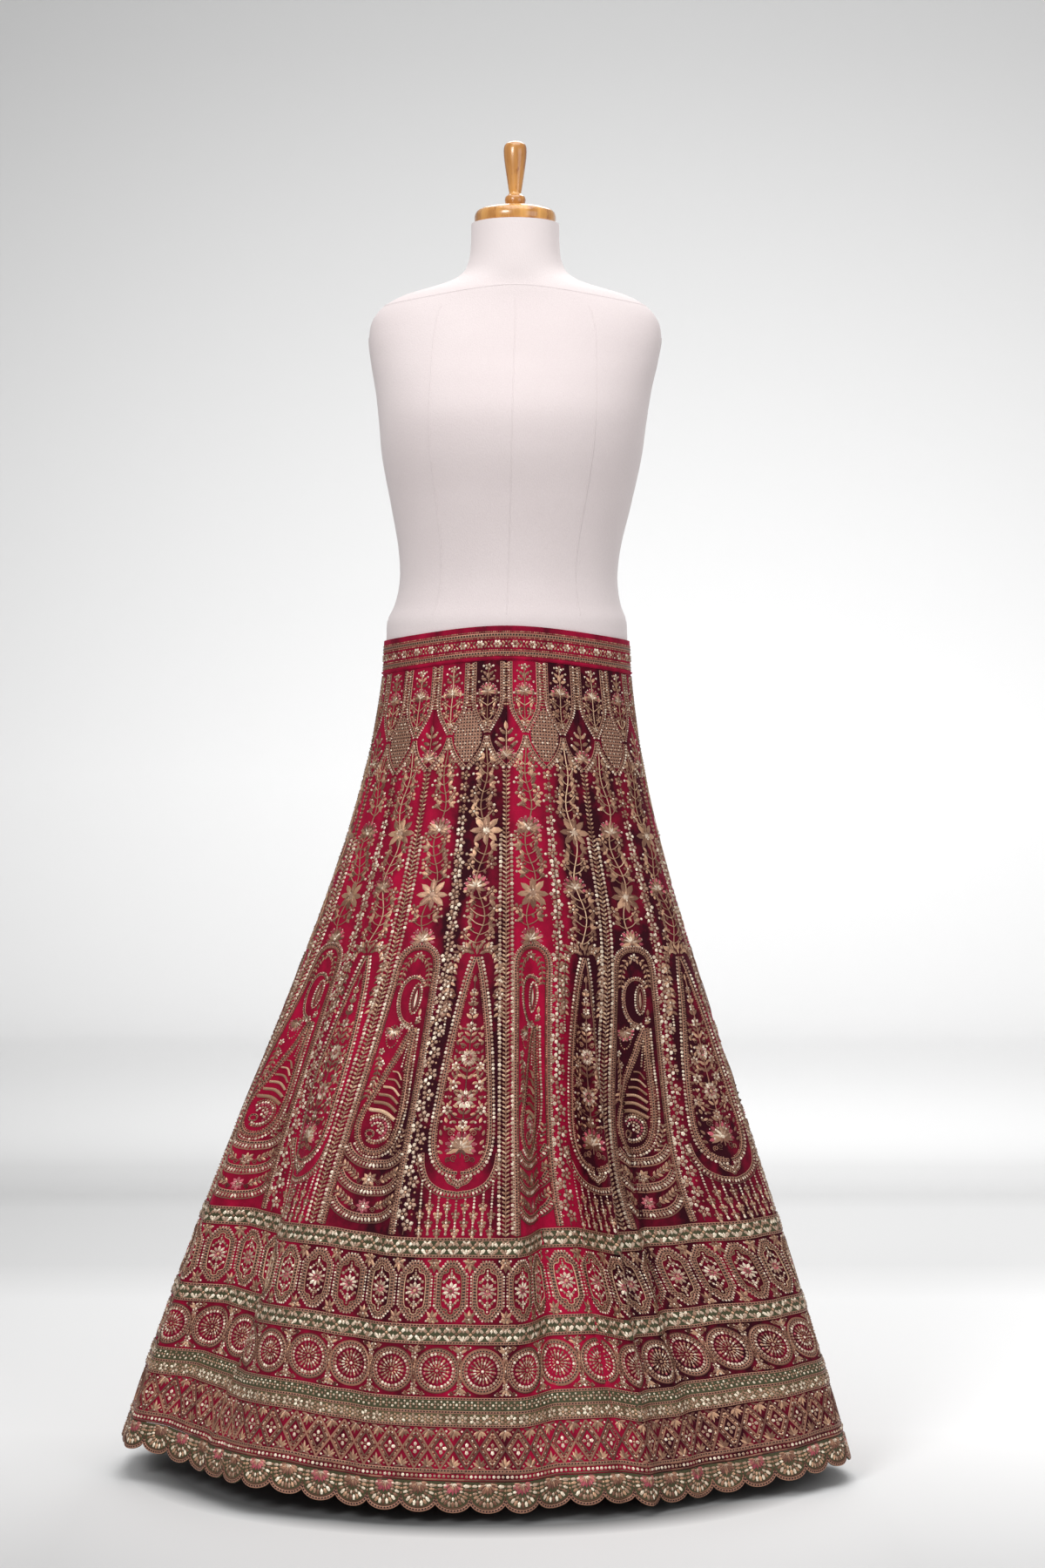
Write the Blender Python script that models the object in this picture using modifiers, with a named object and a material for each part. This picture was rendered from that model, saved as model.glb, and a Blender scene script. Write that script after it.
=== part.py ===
"""A lehenga skirt on a limbless dress form: metres, +Z up, front towards -Y, origin under the base.

The skirt hangs from a waistband that rests on the form. Its cloth is one surface, worked out from the
waist oval, a table of how far the hem reaches and a table of folds. Every cloth piece is a wall on that
surface: twenty kalis side by side, three brocade bands lying on them and a scalloped edging below them.
"""
import math

import bmesh
import bpy
import numpy as np

# Skirt
KALIS = 20
CELLS = 7                     # columns of faces across one kali
SCALLOPS = 70
KALI_LENGTH = 0.9615          # down the cloth, from under the waistband to a scallop's tip
WAIST_WIDE, WAIST_DEEP = 0.1475, 0.1120   # half sizes of the oval that the kalis leave
WAIST_HEIGHT, WAIST_DIP = 0.9420, 0.0070  # the waist line's middle height, lower at the sides
WAIST_CENTRE = -0.0010        # the oval's centre in y
HIP_HUG = 0.64                # how long the cloth keeps to the hips before it flares
SIDE_CUT = 0.010              # how much shorter the kalis are cut at the sides, as a share
WALL, SEAM, LIFT, TRIM = 0.0020, 0.0003, 0.0003, 0.0010

# Waistband
BAND_HIGH, BAND_WALL, BAND_GAP = 0.0400, 0.0022, 0.0004

# Levels down the cloth, in metres from the waist line
SHAPE_LEVELS = (0.0, 0.060, 0.160, 0.300, 0.480)
BANDS = {"band_upper": (0.6640, 0.6860), "band_middle": (0.7590, 0.7810), "band_lower": (0.8380, 0.8700)}
EDGING_LEVEL = 0.9280
NOTCH = 0.0120                # how deep the edging is cut between two scallops

# How far the hem reaches from the middle: bearing in degrees (0 is the front, + its right hand), metres
REACH = (
    (0, 0.324), (20, 0.347), (35, 0.325), (50, 0.348), (64, 0.402), (76, 0.414), (90, 0.377), (112, 0.390),
    (140, 0.362), (165, 0.350), (190, 0.352), (215, 0.368), (240, 0.402), (257, 0.439), (272, 0.454),
    (285, 0.454), (300, 0.415), (315, 0.407), (330, 0.359), (345, 0.338),
)

# Folds pressed into that shape, or ridges where the depth is below 0: the floor's two bearings, each
# flank's width in degrees, the depth in metres, the shares of the length where a fold starts and is
# full, and the share of it left at the hem
FOLDS = (
    # from, to, left flank, right flank, depth, start, full, hem share
    (12.2, 24.4, 9.8, 5.8, 0.071, 0.20, 0.66, 0.40),
    (34.0, 39.7, 5.7, 14.2, 0.036, 0.25, 0.66, 0.21),
    (49.2, 55.6, 8.9, 8.9, 0.046, 0.30, 0.75, 0.23),
    (92.0, 95.0, 9.0, 9.0, 0.056, 0.12, 0.80, 1.00),
    (118.0, 122.0, 9.0, 9.0, 0.062, 0.16, 0.75, 0.90),
    (145.0, 148.0, 9.0, 9.0, 0.054, 0.20, 0.80, 1.00),
    (172.0, 178.0, 9.0, 9.0, 0.066, 0.12, 0.70, 0.85),
    (203.0, 206.0, 9.0, 9.0, 0.056, 0.22, 0.85, 1.00),
    (229.0, 234.0, 9.0, 9.0, 0.062, 0.16, 0.75, 0.90),
    (256.0, 259.0, 9.0, 8.0, 0.046, 0.22, 0.80, 1.00),
    (289.1, 296.5, 5.6, 9.5, 0.045, 0.30, 0.80, 0.50),
    (296.4, 304.2, 17.4, 9.5, 0.002, 0.25, 0.66, 0.70),
    (304.5, 317.0, 4.6, 20.3, 0.011, 0.25, 0.66, 1.41),
    (334.4, 340.3, 9.5, 9.9, -0.009, 0.30, 0.66, 0.09),
)

# Dress form: height, half width, half depth and its middle in x and y
TORSO = (
    (0.800, 0.1180, 0.0880, 0.000, 0.000), (0.806, 0.1330, 0.1000, 0.000, 0.000),
    (0.826, 0.1420, 0.1070, 0.000, 0.000), (0.870, 0.1462, 0.1104, 0.000, -0.001),
    (0.925, 0.1454, 0.1100, 0.000, -0.001), (0.995, 0.1433, 0.1079, 0.000, -0.001),
    (1.018, 0.1345, 0.1010, 0.001, -0.001), (1.045, 0.1295, 0.0965, 0.002, -0.001),
    (1.080, 0.1310, 0.0985, 0.003, -0.002), (1.140, 0.1430, 0.1095, 0.005, -0.005),
    (1.195, 0.1540, 0.1200, 0.006, -0.010), (1.235, 0.1585, 0.1195, 0.007, -0.010),
    (1.275, 0.1640, 0.1080, 0.008, -0.004), (1.310, 0.1710, 0.0930, 0.009, 0.001),
    (1.340, 0.1745, 0.0800, 0.010, 0.004), (1.362, 0.1690, 0.0710, 0.010, 0.006),
    (1.378, 0.1540, 0.0660, 0.010, 0.008), (1.390, 0.1300, 0.0620, 0.010, 0.008),
    (1.398, 0.1010, 0.0590, 0.010, 0.008), (1.405, 0.0790, 0.0575, 0.010, 0.007),
    (1.414, 0.0640, 0.0560, 0.010, 0.005), (1.428, 0.0560, 0.0540, 0.010, 0.003),
    (1.448, 0.0530, 0.0525, 0.010, 0.002), (1.473, 0.0525, 0.0525, 0.010, 0.002),
)
TORSO_SIDES = 36
NECK = TORSO[-1]
CAP_HIGH, CAP_RADIUS = 0.0200, 0.0485
FINIAL_HIGH = 0.0790
POLE_RADIUS, BASE_RADIUS, BASE_HIGH = 0.0160, 0.1900, 0.0140

TURN = 2.0 * math.pi
BEARINGS = np.linspace(0.0, TURN, 1441)


def clear_scene():
    """Start from an empty file."""
    for thing in list(bpy.data.objects):
        bpy.data.objects.remove(thing, do_unlink=True)


def collection(name):
    """A new collection in the scene."""
    group = bpy.data.collections.new(name)
    bpy.context.scene.collection.children.link(group)
    return group


def material(name, colour, roughness, metallic=0.0):
    """A plain Principled material."""
    made = bpy.data.materials.new(name)
    made.use_nodes = True
    surface = made.node_tree.nodes["Principled BSDF"]
    surface.inputs["Base Color"].default_value = (*colour, 1.0)
    surface.inputs["Roughness"].default_value = roughness
    surface.inputs["Metallic"].default_value = metallic
    return made


def ease(x):
    """0 to 1, level at both ends."""
    x = np.clip(x, 0.0, 1.0)
    return x * x * (3.0 - 2.0 * x)


def around(table, bearing):
    """Smooth closed curve through (degrees, value) rows, read at bearings in radians."""
    degrees = np.array([row[0] for row in table], float)
    values = np.array([row[1] for row in table], float)
    x = np.degrees(np.mod(bearing, TURN))
    after = np.searchsorted(degrees, x, side="right")
    count = len(degrees)
    pick = lambda step: (after + step) % count
    start = degrees[pick(-1)]
    span = np.mod(degrees[pick(0)] - start, 360.0)
    s = np.mod(x - start, 360.0) / span
    p0, p1, p2, p3 = (values[pick(step)] for step in (-2, -1, 0, 1))
    return 0.5 * (2 * p1 + (p2 - p0) * s + (2 * p0 - 5 * p1 + 4 * p2 - p3) * s**2
                  + (3 * p1 - p0 - 3 * p2 + p3) * s**3)


def oval(bearing, wide, deep):
    """Distance from the middle of an oval to its edge."""
    return 1.0 / np.hypot(np.sin(bearing) / wide, np.cos(bearing) / deep)


def fold_depth(bearing, share):
    """How far the folds press the cloth in, at a share of its length."""
    total = np.zeros_like(bearing)
    for first, last, left, right, depth, start, full, at_hem in FOLDS:
        middle = math.radians((first + last) / 2)
        half = math.radians((last - first) / 2)
        off = np.mod(bearing - middle + math.pi, TURN) - math.pi
        into_left = ease((off + half + math.radians(left)) / math.radians(left))
        into_right = ease((half + math.radians(right) - off) / math.radians(right))
        grown = ease((share - start) / (full - start))
        kept = 1.0 + (at_hem - 1.0) * ease((share - full) / (1.0 - full))
        total += depth * grown * kept * into_left * into_right
    return total


def flare(share):
    """Share of the hem's reach that the cloth has at a share of its length."""
    return share - HIP_HUG * share * (1.0 - share) ** 3


def waist_height(bearing):
    """The waist line is a little lower at the sides."""
    return WAIST_HEIGHT + WAIST_DIP * np.cos(2.0 * bearing)


def level_curve(level):
    """The cloth's closed curve at one level, as points against their share of its length."""
    share = level / KALI_LENGTH
    waist = oval(BEARINGS, WAIST_WIDE, WAIST_DEEP)
    spread = around(REACH, BEARINGS) - waist
    reach = waist + spread * flare(share) - fold_depth(BEARINGS, share)
    steps = np.linspace(0.0, share, 65)
    run = spread[:, None] * np.diff(flare(steps))
    cut = KALI_LENGTH * (1.0 - SIDE_CUT * np.sin(BEARINGS) ** 2)
    down = np.sqrt((cut[:, None] * np.diff(steps)) ** 2 - run**2).sum(axis=1)
    points = np.stack([reach * np.sin(BEARINGS), WAIST_CENTRE - reach * np.cos(BEARINGS),
                       waist_height(BEARINGS) - down], axis=1)
    lengths = np.concatenate([[0.0], np.cumsum(np.linalg.norm(np.diff(points, axis=0), axis=1))])
    return lengths / lengths[-1], points


def cloth_points(around_shares, level):
    """Points on the cloth at shares of the way around, at one level."""
    lengths, points = level_curve(level)
    return np.stack([np.interp(np.mod(around_shares, 1.0), lengths, points[:, i]) for i in range(3)], axis=1)


def cloth_grid(columns, levels):
    """Points and outward normals on the cloth, levels by columns."""
    nudge_around, nudge_down = 2e-4, 1e-3
    points = np.array([cloth_points(columns, level) for level in levels])
    right = np.array([cloth_points(columns + nudge_around, v) - cloth_points(columns - nudge_around, v)
                      for v in levels])
    down = np.array([cloth_points(columns, v + nudge_down) - cloth_points(columns, max(v - nudge_down, 0.0))
                     for v in levels])
    normals = np.cross(down, right)
    normals /= np.linalg.norm(normals, axis=2, keepdims=True)
    return points, normals


def wall(name, outer, inner, look, group, closed):
    """A closed body between two grids of points, rows running down and columns around."""
    rows, columns = outer.shape[:2]
    skin = rows * columns
    last = columns if closed else columns - 1
    at = lambda side, row, column: side * skin + row * columns + column % columns
    faces = []
    for row in range(rows - 1):
        for column in range(last):
            start, end = (row, column), (row + 1, column + 1)
            for half in ((start, (row + 1, column), end), (start, end, (row, column + 1))):
                faces.append([at(0, *corner) for corner in half])
                faces.append([at(1, *corner) for corner in reversed(half)])
    for column in range(last):
        for row, (a, b) in ((0, (column, column + 1)), (rows - 1, (column + 1, column))):
            faces.append([at(1, row, a), at(0, row, a), at(0, row, b), at(1, row, b)])
    if not closed:
        for row in range(rows - 1):
            high, low = row, row + 1
            for column, turn in ((0, 1), (columns - 1, -1)):
                outer_high, outer_low, inner_high, inner_low = (
                    at(side, place, column) for side in (0, 1) for place in (high, low))
                faces.append([outer_high, inner_low, outer_low][::turn])
                faces.append([outer_high, inner_high, inner_low][::turn])
    mesh = bpy.data.meshes.new(name)
    mesh.from_pydata([tuple(map(float, p)) for p in np.concatenate([outer.reshape(-1, 3),
                                                                    inner.reshape(-1, 3)])], [], faces)
    mesh.materials.append(look)
    mesh.shade_smooth()
    mesh.set_sharp_from_angle(angle=math.radians(40))
    made = bpy.data.objects.new(name, mesh)
    group.objects.link(made)
    return made


def turned(name, profile, place, look, group, steps=32):
    """A solid of revolution from (radius, height) pairs, top to bottom."""
    mesh = bpy.data.meshes.new(name)
    mesh.from_pydata([(r, 0.0, z) for r, z in profile], [(i, i + 1) for i in range(len(profile) - 1)], [])
    mesh.materials.append(look)
    made = bpy.data.objects.new(name, mesh)
    group.objects.link(made)
    made.location = place
    screw = made.modifiers.new("turn", "SCREW")
    screw.steps = screw.render_steps = steps
    screw.use_merge_vertices = True
    screw.merge_threshold = 0.00005
    screw.use_smooth_shade = False
    return made


def make_kalis(looks, group):
    """Twenty tapered panels, with a fine gap at each seam."""
    band_levels = [level for band in BANDS.values() for level in band]
    levels = [*SHAPE_LEVELS, *band_levels, EDGING_LEVEL - SEAM]
    for index in range(KALIS):
        columns = (index + np.linspace(0.0, 1.0, CELLS + 1)) / KALIS
        points, normals = cloth_grid(columns, levels)
        across = points[:, [1, -1]] - points[:, [0, -2]]
        across /= np.linalg.norm(across, axis=2, keepdims=True)
        points[:, 0] += across[:, 0] * SEAM / 2
        points[:, -1] -= across[:, 1] * SEAM / 2
        wall(f"kali_{index + 1:02d}", points, points - normals * WALL, looks["velvet"], group, False)


def make_bands(looks, group):
    """Three brocade bands lying on the kalis, from the same points moved out."""
    columns = np.arange(KALIS * CELLS) / (KALIS * CELLS)
    for name, levels in BANDS.items():
        points, normals = cloth_grid(columns, levels)
        wall(name, points + normals * (LIFT + TRIM), points + normals * LIFT, looks["brocade"], group, True)


def make_edging(looks, group):
    """The scalloped edging: its top follows the kalis' faces, its lower edge is a row of round lobes."""
    per_scallop, cells = 4, KALIS * CELLS
    count = SCALLOPS * per_scallop
    exact, normals = cloth_grid(np.arange(cells + 1) / cells, (EDGING_LEVEL, KALI_LENGTH))
    place = np.arange(count) * cells / count
    mixed = lambda grid, row: np.stack([np.interp(place, np.arange(cells + 1), grid[row, :, i])
                                        for i in range(3)], axis=1)
    pitch = 1.0 / per_scallop
    half, phase = 0.5, (np.arange(count) * pitch) % 1.0 - 0.5
    lobe = 1.0 - np.sqrt(np.clip(1.0 - (np.abs(phase) / half) ** 2, 0.0, 1.0))
    drop = KALI_LENGTH - EDGING_LEVEL
    share = (1.0 - NOTCH / drop * lobe)[:, None]
    top, tip = mixed(exact, 0), mixed(exact, 1)
    out_top, out_tip = mixed(normals, 0), mixed(normals, 1)
    points = np.stack([top, top + (tip - top) * share])
    out = np.stack([out_top, out_top + (out_tip - out_top) * share])
    wall("scalloped_edging", points, points - out * WALL, looks["brocade"], group, True)


def form_reach(bearing, height):
    """Half the form's oval at a height, towards each bearing."""
    heights = [row[0] for row in TORSO]
    wide, deep = (np.interp(height, heights, [row[i] for row in TORSO]) for i in (1, 2))
    return oval(bearing, wide, deep)


def make_waistband(looks, group):
    """A band around the form, just clear of it, open by a fine seam at the back."""
    count = KALIS * CELLS // 2
    half_seam = SEAM / 2 / WAIST_DEEP
    bearings = np.linspace(-math.pi + half_seam, math.pi - half_seam, count + 1)
    rings = []
    for over in (BAND_HIGH + SEAM, SEAM):
        height = waist_height(bearings) + over
        reach = form_reach(bearings, height) + BAND_GAP
        rings.append([np.stack([(reach + out) * np.sin(bearings), WAIST_CENTRE - (reach + out) * np.cos(bearings),
                                height], axis=1) for out in (BAND_WALL, 0.0)])
    outer, inner = (np.stack([ring[side] for ring in rings]) for side in (0, 1))
    wall("waistband", outer, inner, looks["waistband"], group, False)


def make_torso(looks, group):
    """The form's body: oval rings from its flat underside to the top of its neck."""
    bearings = np.arange(TORSO_SIDES) * TURN / TORSO_SIDES
    mesh = bpy.data.meshes.new("form_torso")
    verts, faces = [], []
    for height, wide, deep, x, y in TORSO:
        reach = oval(bearings, wide, deep)
        verts += [(x + r * math.sin(b), y - r * math.cos(b), height) for r, b in zip(reach, bearings)]
    for row in range(len(TORSO) - 1):
        for side in range(TORSO_SIDES):
            low, high, along = row * TORSO_SIDES, (row + 1) * TORSO_SIDES, (side + 1) % TORSO_SIDES
            faces.append((low + side, low + along, high + along, high + side))
    faces.append(tuple(range(TORSO_SIDES - 1, -1, -1)))
    faces.append(tuple(len(verts) - TORSO_SIDES + side for side in range(TORSO_SIDES)))
    mesh.from_pydata([tuple(map(float, v)) for v in verts], [], faces)
    mesh.materials.append(looks["cover"])
    mesh.shade_smooth()
    made = bpy.data.objects.new("form_torso", mesh)
    group.objects.link(made)


def make_stand(looks, group):
    """The wooden neck cap and handle above, and the pole and round base below."""
    x, y = NECK[3], NECK[4]
    cap = NECK[0] + SEAM
    turned("neck_cap", [(0, CAP_HIGH), (0.030, CAP_HIGH), (0.041, 0.0175), (0.0465, 0.0140), (CAP_RADIUS, 0.0090),
                        (CAP_RADIUS, 0.0030), (0.0470, 0.0), (0, 0)], (x, y, cap), looks["wood"], group)
    foot = cap + CAP_HIGH + SEAM
    turned("finial", [(0, FINIAL_HIGH), (0.0080, 0.0780), (0.0125, 0.0745), (0.0138, 0.0690), (0.0135, 0.0600),
                      (0.0105, 0.0380), (0.0078, 0.0200), (0.0075, 0.0155), (0.0105, 0.0135), (0.0125, 0.0090),
                      (0.0118, 0.0045), (0.0085, 0.0), (0, 0)], (x, y, foot), looks["wood"], group, 24)
    turned("base", [(0, BASE_HIGH), (0.170, BASE_HIGH), (0.186, 0.0110), (BASE_RADIUS, 0.0060),
                    (BASE_RADIUS, 0.0), (0, 0)], (0, 0, 0), looks["metal"], group, 40)
    low, high = BASE_HIGH + SEAM, TORSO[0][0] - SEAM
    bpy.ops.mesh.primitive_cylinder_add(vertices=24, radius=POLE_RADIUS, depth=high - low,
                                        location=(0, 0, (high + low) / 2))
    pole = bpy.context.object
    pole.name = pole.data.name = "pole"
    pole.data.materials.append(looks["metal"])
    pole.data.shade_smooth()
    pole.data.set_sharp_from_angle(angle=math.radians(40))
    for holder in list(pole.users_collection):
        holder.objects.unlink(pole)
    group.objects.link(pole)


def main():
    """Build the skirt, then the form that carries it."""
    clear_scene()
    group = collection("lehenga_skirt_on_dress_form")
    looks = {
        "velvet": material("velvet", (0.20, 0.006, 0.02), 0.75),
        "brocade": material("brocade", (0.20, 0.15, 0.07), 0.55),
        "waistband": material("waistband", (0.30, 0.02, 0.03), 0.6),
        "cover": material("form_cover", (0.80, 0.75, 0.73), 0.85),
        "wood": material("turned_wood", (0.45, 0.18, 0.04), 0.35),
        "metal": material("stand_metal", (0.55, 0.55, 0.55), 0.35, 1.0),
    }
    make_waistband(looks, group)
    make_kalis(looks, group)
    make_bands(looks, group)
    make_edging(looks, group)
    make_torso(looks, group)
    make_stand(looks, group)


main()
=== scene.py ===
"""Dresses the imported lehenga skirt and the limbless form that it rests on.

The skirt's cloth is one surface, from the same named sizes as the CAD solids. Needlework is drawn flat, as x
across and level down the cloth in metres, and is then laid on that surface.
"""
import logging
import math
from collections.abc import Callable
from dataclasses import dataclass
from enum import Enum

import bpy
import numpy as np
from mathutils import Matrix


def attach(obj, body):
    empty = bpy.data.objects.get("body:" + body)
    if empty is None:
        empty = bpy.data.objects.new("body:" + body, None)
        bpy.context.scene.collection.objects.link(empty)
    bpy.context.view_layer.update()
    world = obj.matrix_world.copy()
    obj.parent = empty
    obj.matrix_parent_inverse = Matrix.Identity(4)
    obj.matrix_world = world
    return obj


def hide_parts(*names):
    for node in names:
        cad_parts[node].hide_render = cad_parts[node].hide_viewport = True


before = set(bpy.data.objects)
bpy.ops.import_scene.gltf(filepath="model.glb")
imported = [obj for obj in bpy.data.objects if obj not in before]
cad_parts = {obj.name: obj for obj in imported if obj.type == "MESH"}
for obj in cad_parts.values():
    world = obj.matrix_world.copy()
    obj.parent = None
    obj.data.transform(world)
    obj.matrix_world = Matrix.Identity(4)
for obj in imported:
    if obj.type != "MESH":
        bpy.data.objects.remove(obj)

Array, Material, Object, Socket = np.ndarray, bpy.types.Material, bpy.types.Object, bpy.types.NodeSocket
join = np.concatenate
TURN = 2.0 * math.pi
UP = -math.pi / 2             # the heading towards the waist, on a motif
KALIS = 20
BANDS = {"band_upper": (0.664, 0.686), "band_middle": (0.759, 0.781), "band_lower": (0.838, 0.87)}
EDGING_LEVEL, KALI_LENGTH, NOTCH, SCALLOPS = 0.928, 0.9615, 0.012, 70
WALL = 0.002
LEDGE = 0.0003                # how far a band lies above the velvet
SEAM = 0.00015                # half the gap between two cut edges
log = logging.getLogger("lehenga")


# ---- plain helpers
def beside(*columns: Array | float) -> Array:
    """Columns, or single numbers for a whole column, side by side."""
    return np.stack(np.broadcast_arrays(*columns), axis=1)


def mm(*rows: tuple) -> tuple:
    """Rows of lengths given in millimetres, in metres."""
    return tuple(tuple(round(length / 1000, 7) for length in row) for row in rows)


def lengths(path: Array) -> Array:
    """How far along a path each of its points is."""
    return join([[0.0], np.cumsum(np.linalg.norm(np.diff(path, axis=0), axis=1))])


def read(table: tuple, column: int, level: Array | float) -> Array:
    """A value from a table of (value, ..., level) rows at a level."""
    return np.interp(level, [row[-1] for row in table], [row[column] for row in table])


def ease(x: Array) -> Array:
    """0 to 1, level at both ends."""
    x = np.clip(x, 0.0, 1.0)
    return x * x * (3.0 - 2.0 * x)


def around(table: tuple, bearing: Array) -> Array:
    """Smooth closed curve through (degrees, value) rows.

    Args:
        table: rows of degrees and values.
        bearing: bearings to read it at, in radians.

    Returns:
        The values there.
    """
    degrees, values = (np.array([row[i] for row in table], float) for i in (0, 1))
    x = np.degrees(np.mod(bearing, TURN))
    after = np.searchsorted(degrees, x, side="right")
    count = len(degrees)
    start = degrees[(after - 1) % count]
    s = np.mod(x - start, 360.0) / np.mod(degrees[after % count] - start, 360.0)
    p0, p1, p2, p3 = (values[(after + step) % count] for step in (-2, -1, 0, 1))
    return 0.5 * (2 * p1 + (p2 - p0) * s + (2 * p0 - 5 * p1 + 4 * p2 - p3) * s**2
        + (3 * p1 - p0 - 3 * p2 + p3) * s**3)


def oval(bearing: Array, wide: float, deep: float) -> Array:
    """Distance from the middle of an oval to its edge."""
    return 1.0 / np.hypot(np.sin(bearing) / wide, np.cos(bearing) / deep)


def smooth(points: list | tuple, closed: bool = False, per: int = 8) -> Array:
    """A smooth path through points.

    Args:
        points: (x, level) pairs.
        closed: whether the path comes back to its start.
        per: steps between two points.

    Returns:
        The path's points.
    """
    p = np.array(points, float)
    ends = (p[-1:], p[:2]) if closed else (2 * p[:1] - p[1:2], 2 * p[-1:] - p[-2:-1])
    p = join([ends[0], p, ends[1]])
    leg = np.diff(p, axis=0)
    knot = np.sqrt(np.maximum(np.linalg.norm(leg, axis=1, keepdims=True), 1e-6))
    s = (np.arange(per) / per)[:, None]
    parts = []
    for i in range(1, len(p) - 2):
        leave = leg[i] + knot[i] * (leg[i - 1] / knot[i - 1] - (leg[i - 1] + leg[i])
            / (knot[i - 1] + knot[i]))
        reach = leg[i] + knot[i] * (leg[i + 1] / knot[i + 1] - (leg[i] + leg[i + 1])
            / (knot[i] + knot[i + 1]))
        parts.append(p[i] + s * leave + s**2 * (3 * leg[i] - 2 * leave - reach) + s**3
            * (leave + reach - 2 * leg[i]))
    return join(parts + [p[-2:-1]])


def along(path: Array, pitch: float, trim: float = 0.0) -> tuple:
    """Evenly spaced places on a path.

    Args:
        path: the path's points.
        pitch: the distance between two places.
        trim: the length that is left free at each end.

    Returns:
        The places and the path's headings there.
    """
    path = np.asarray(path, float)
    step = np.diff(path, axis=0)
    run = lengths(path)
    free = run[-1] - 2 * trim
    count = max(int(round(free / pitch)), 1)
    s = trim + (np.arange(count) + 0.5) * free / count
    at = beside(*(np.interp(s, run, column) for column in path.T))
    leg = np.clip(np.searchsorted(run, s) - 1, 0, len(step) - 1)
    return at, np.arctan2(step[leg, 1], step[leg, 0])


def shifted(path: Array, distance: float | Array) -> Array:
    """The path moved sideways, towards its left as it is walked with the hem below.

    Args:
        path: the path's points.
        distance: how far: one distance, or one for each point.

    Returns:
        The new path's points.
    """
    slope = np.gradient(path, axis=0)
    slope /= np.maximum(np.linalg.norm(slope, axis=1, keepdims=True), 1e-9)
    return path + beside(slope[:, 1], -slope[:, 0]) * np.reshape(distance, (-1, 1))


def ring(centre: tuple, wide: float, deep: float, count: int, start: float = 0.0,
        end: float = TURN) -> Array:
    """Points of an oval or part of one, with angles from +x towards the hem."""
    a = np.linspace(start, end, count + 1)
    return beside(centre[0] + wide * np.cos(a), centre[1] + deep * np.sin(a))


def circle(centre: tuple, radius: float, count: int, start: float = 0.0, end: float = TURN) -> Array:
    """Points of a circle or part of one."""
    return ring(centre, radius, radius, count, start, end)


# ---- surfaces
class Surface:
    """A closed band of cloth that needlework can be laid on, kept as a table of points and normals."""

    columns = 2400

    def tabulate(self, curves: list, top: float, bottom: float) -> None:
        """Fill the tables.

        Args:
            curves: for each level, evenly spaced, points around it that start at the front.
            top: the first level.
            bottom: the last level.
        """
        self.top, self.step = top, (bottom - top) / (len(curves) - 1)
        rows, girths = [], []
        for points in curves:
            run = lengths(points)
            share = np.arange(self.columns) / self.columns * run[-1]
            rows.append(beside(*(np.interp(share, run, column) for column in points.T)))
            girths.append(run[-1])
        self.points, self.girths = np.array(rows), np.array(girths)
        right = np.roll(self.points, -1, axis=1) - np.roll(self.points, 1, axis=1)
        normals = np.cross(np.gradient(self.points, axis=0), right)
        self.normals = normals / np.linalg.norm(normals, axis=2, keepdims=True)

    def girth(self, level: Array) -> Array:
        """The length all the way round at a level."""
        return np.interp((np.asarray(level) - self.top) / self.step, np.arange(len(self.girths)), self.girths)

    def at(self, share: Array, level: Array, height: Array) -> Array:
        """Places on or above the cloth.

        Args:
            share: how far around, 0 to 1 from the front.
            level: how far down the cloth.
            height: how far off it.

        Returns:
            The points in space.
        """
        row = np.clip((level - self.top) / self.step, 0.0, len(self.points) - 1.001)
        column = np.mod(share, 1.0) * self.columns
        high, left = row.astype(int), np.minimum(column.astype(int), self.columns - 1)
        down, over = (row - high)[:, None], (column - left)[:, None]
        right = (left + 1) % self.columns

        def blend(grid: Array) -> Array:
            """A table's value between its four nearest entries.

            Args:
                grid: a table of points or normals.

            Returns:
                Its values.
            """
            upper = grid[high, left] * (1 - over) + grid[high, right] * over
            lower = grid[high + 1, left] * (1 - over) + grid[high + 1, right] * over
            return upper * (1 - down) + lower * down

        out = blend(self.normals)
        out /= np.linalg.norm(out, axis=1, keepdims=True)
        return blend(self.points) + out * np.reshape(height, (-1, 1))


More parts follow.
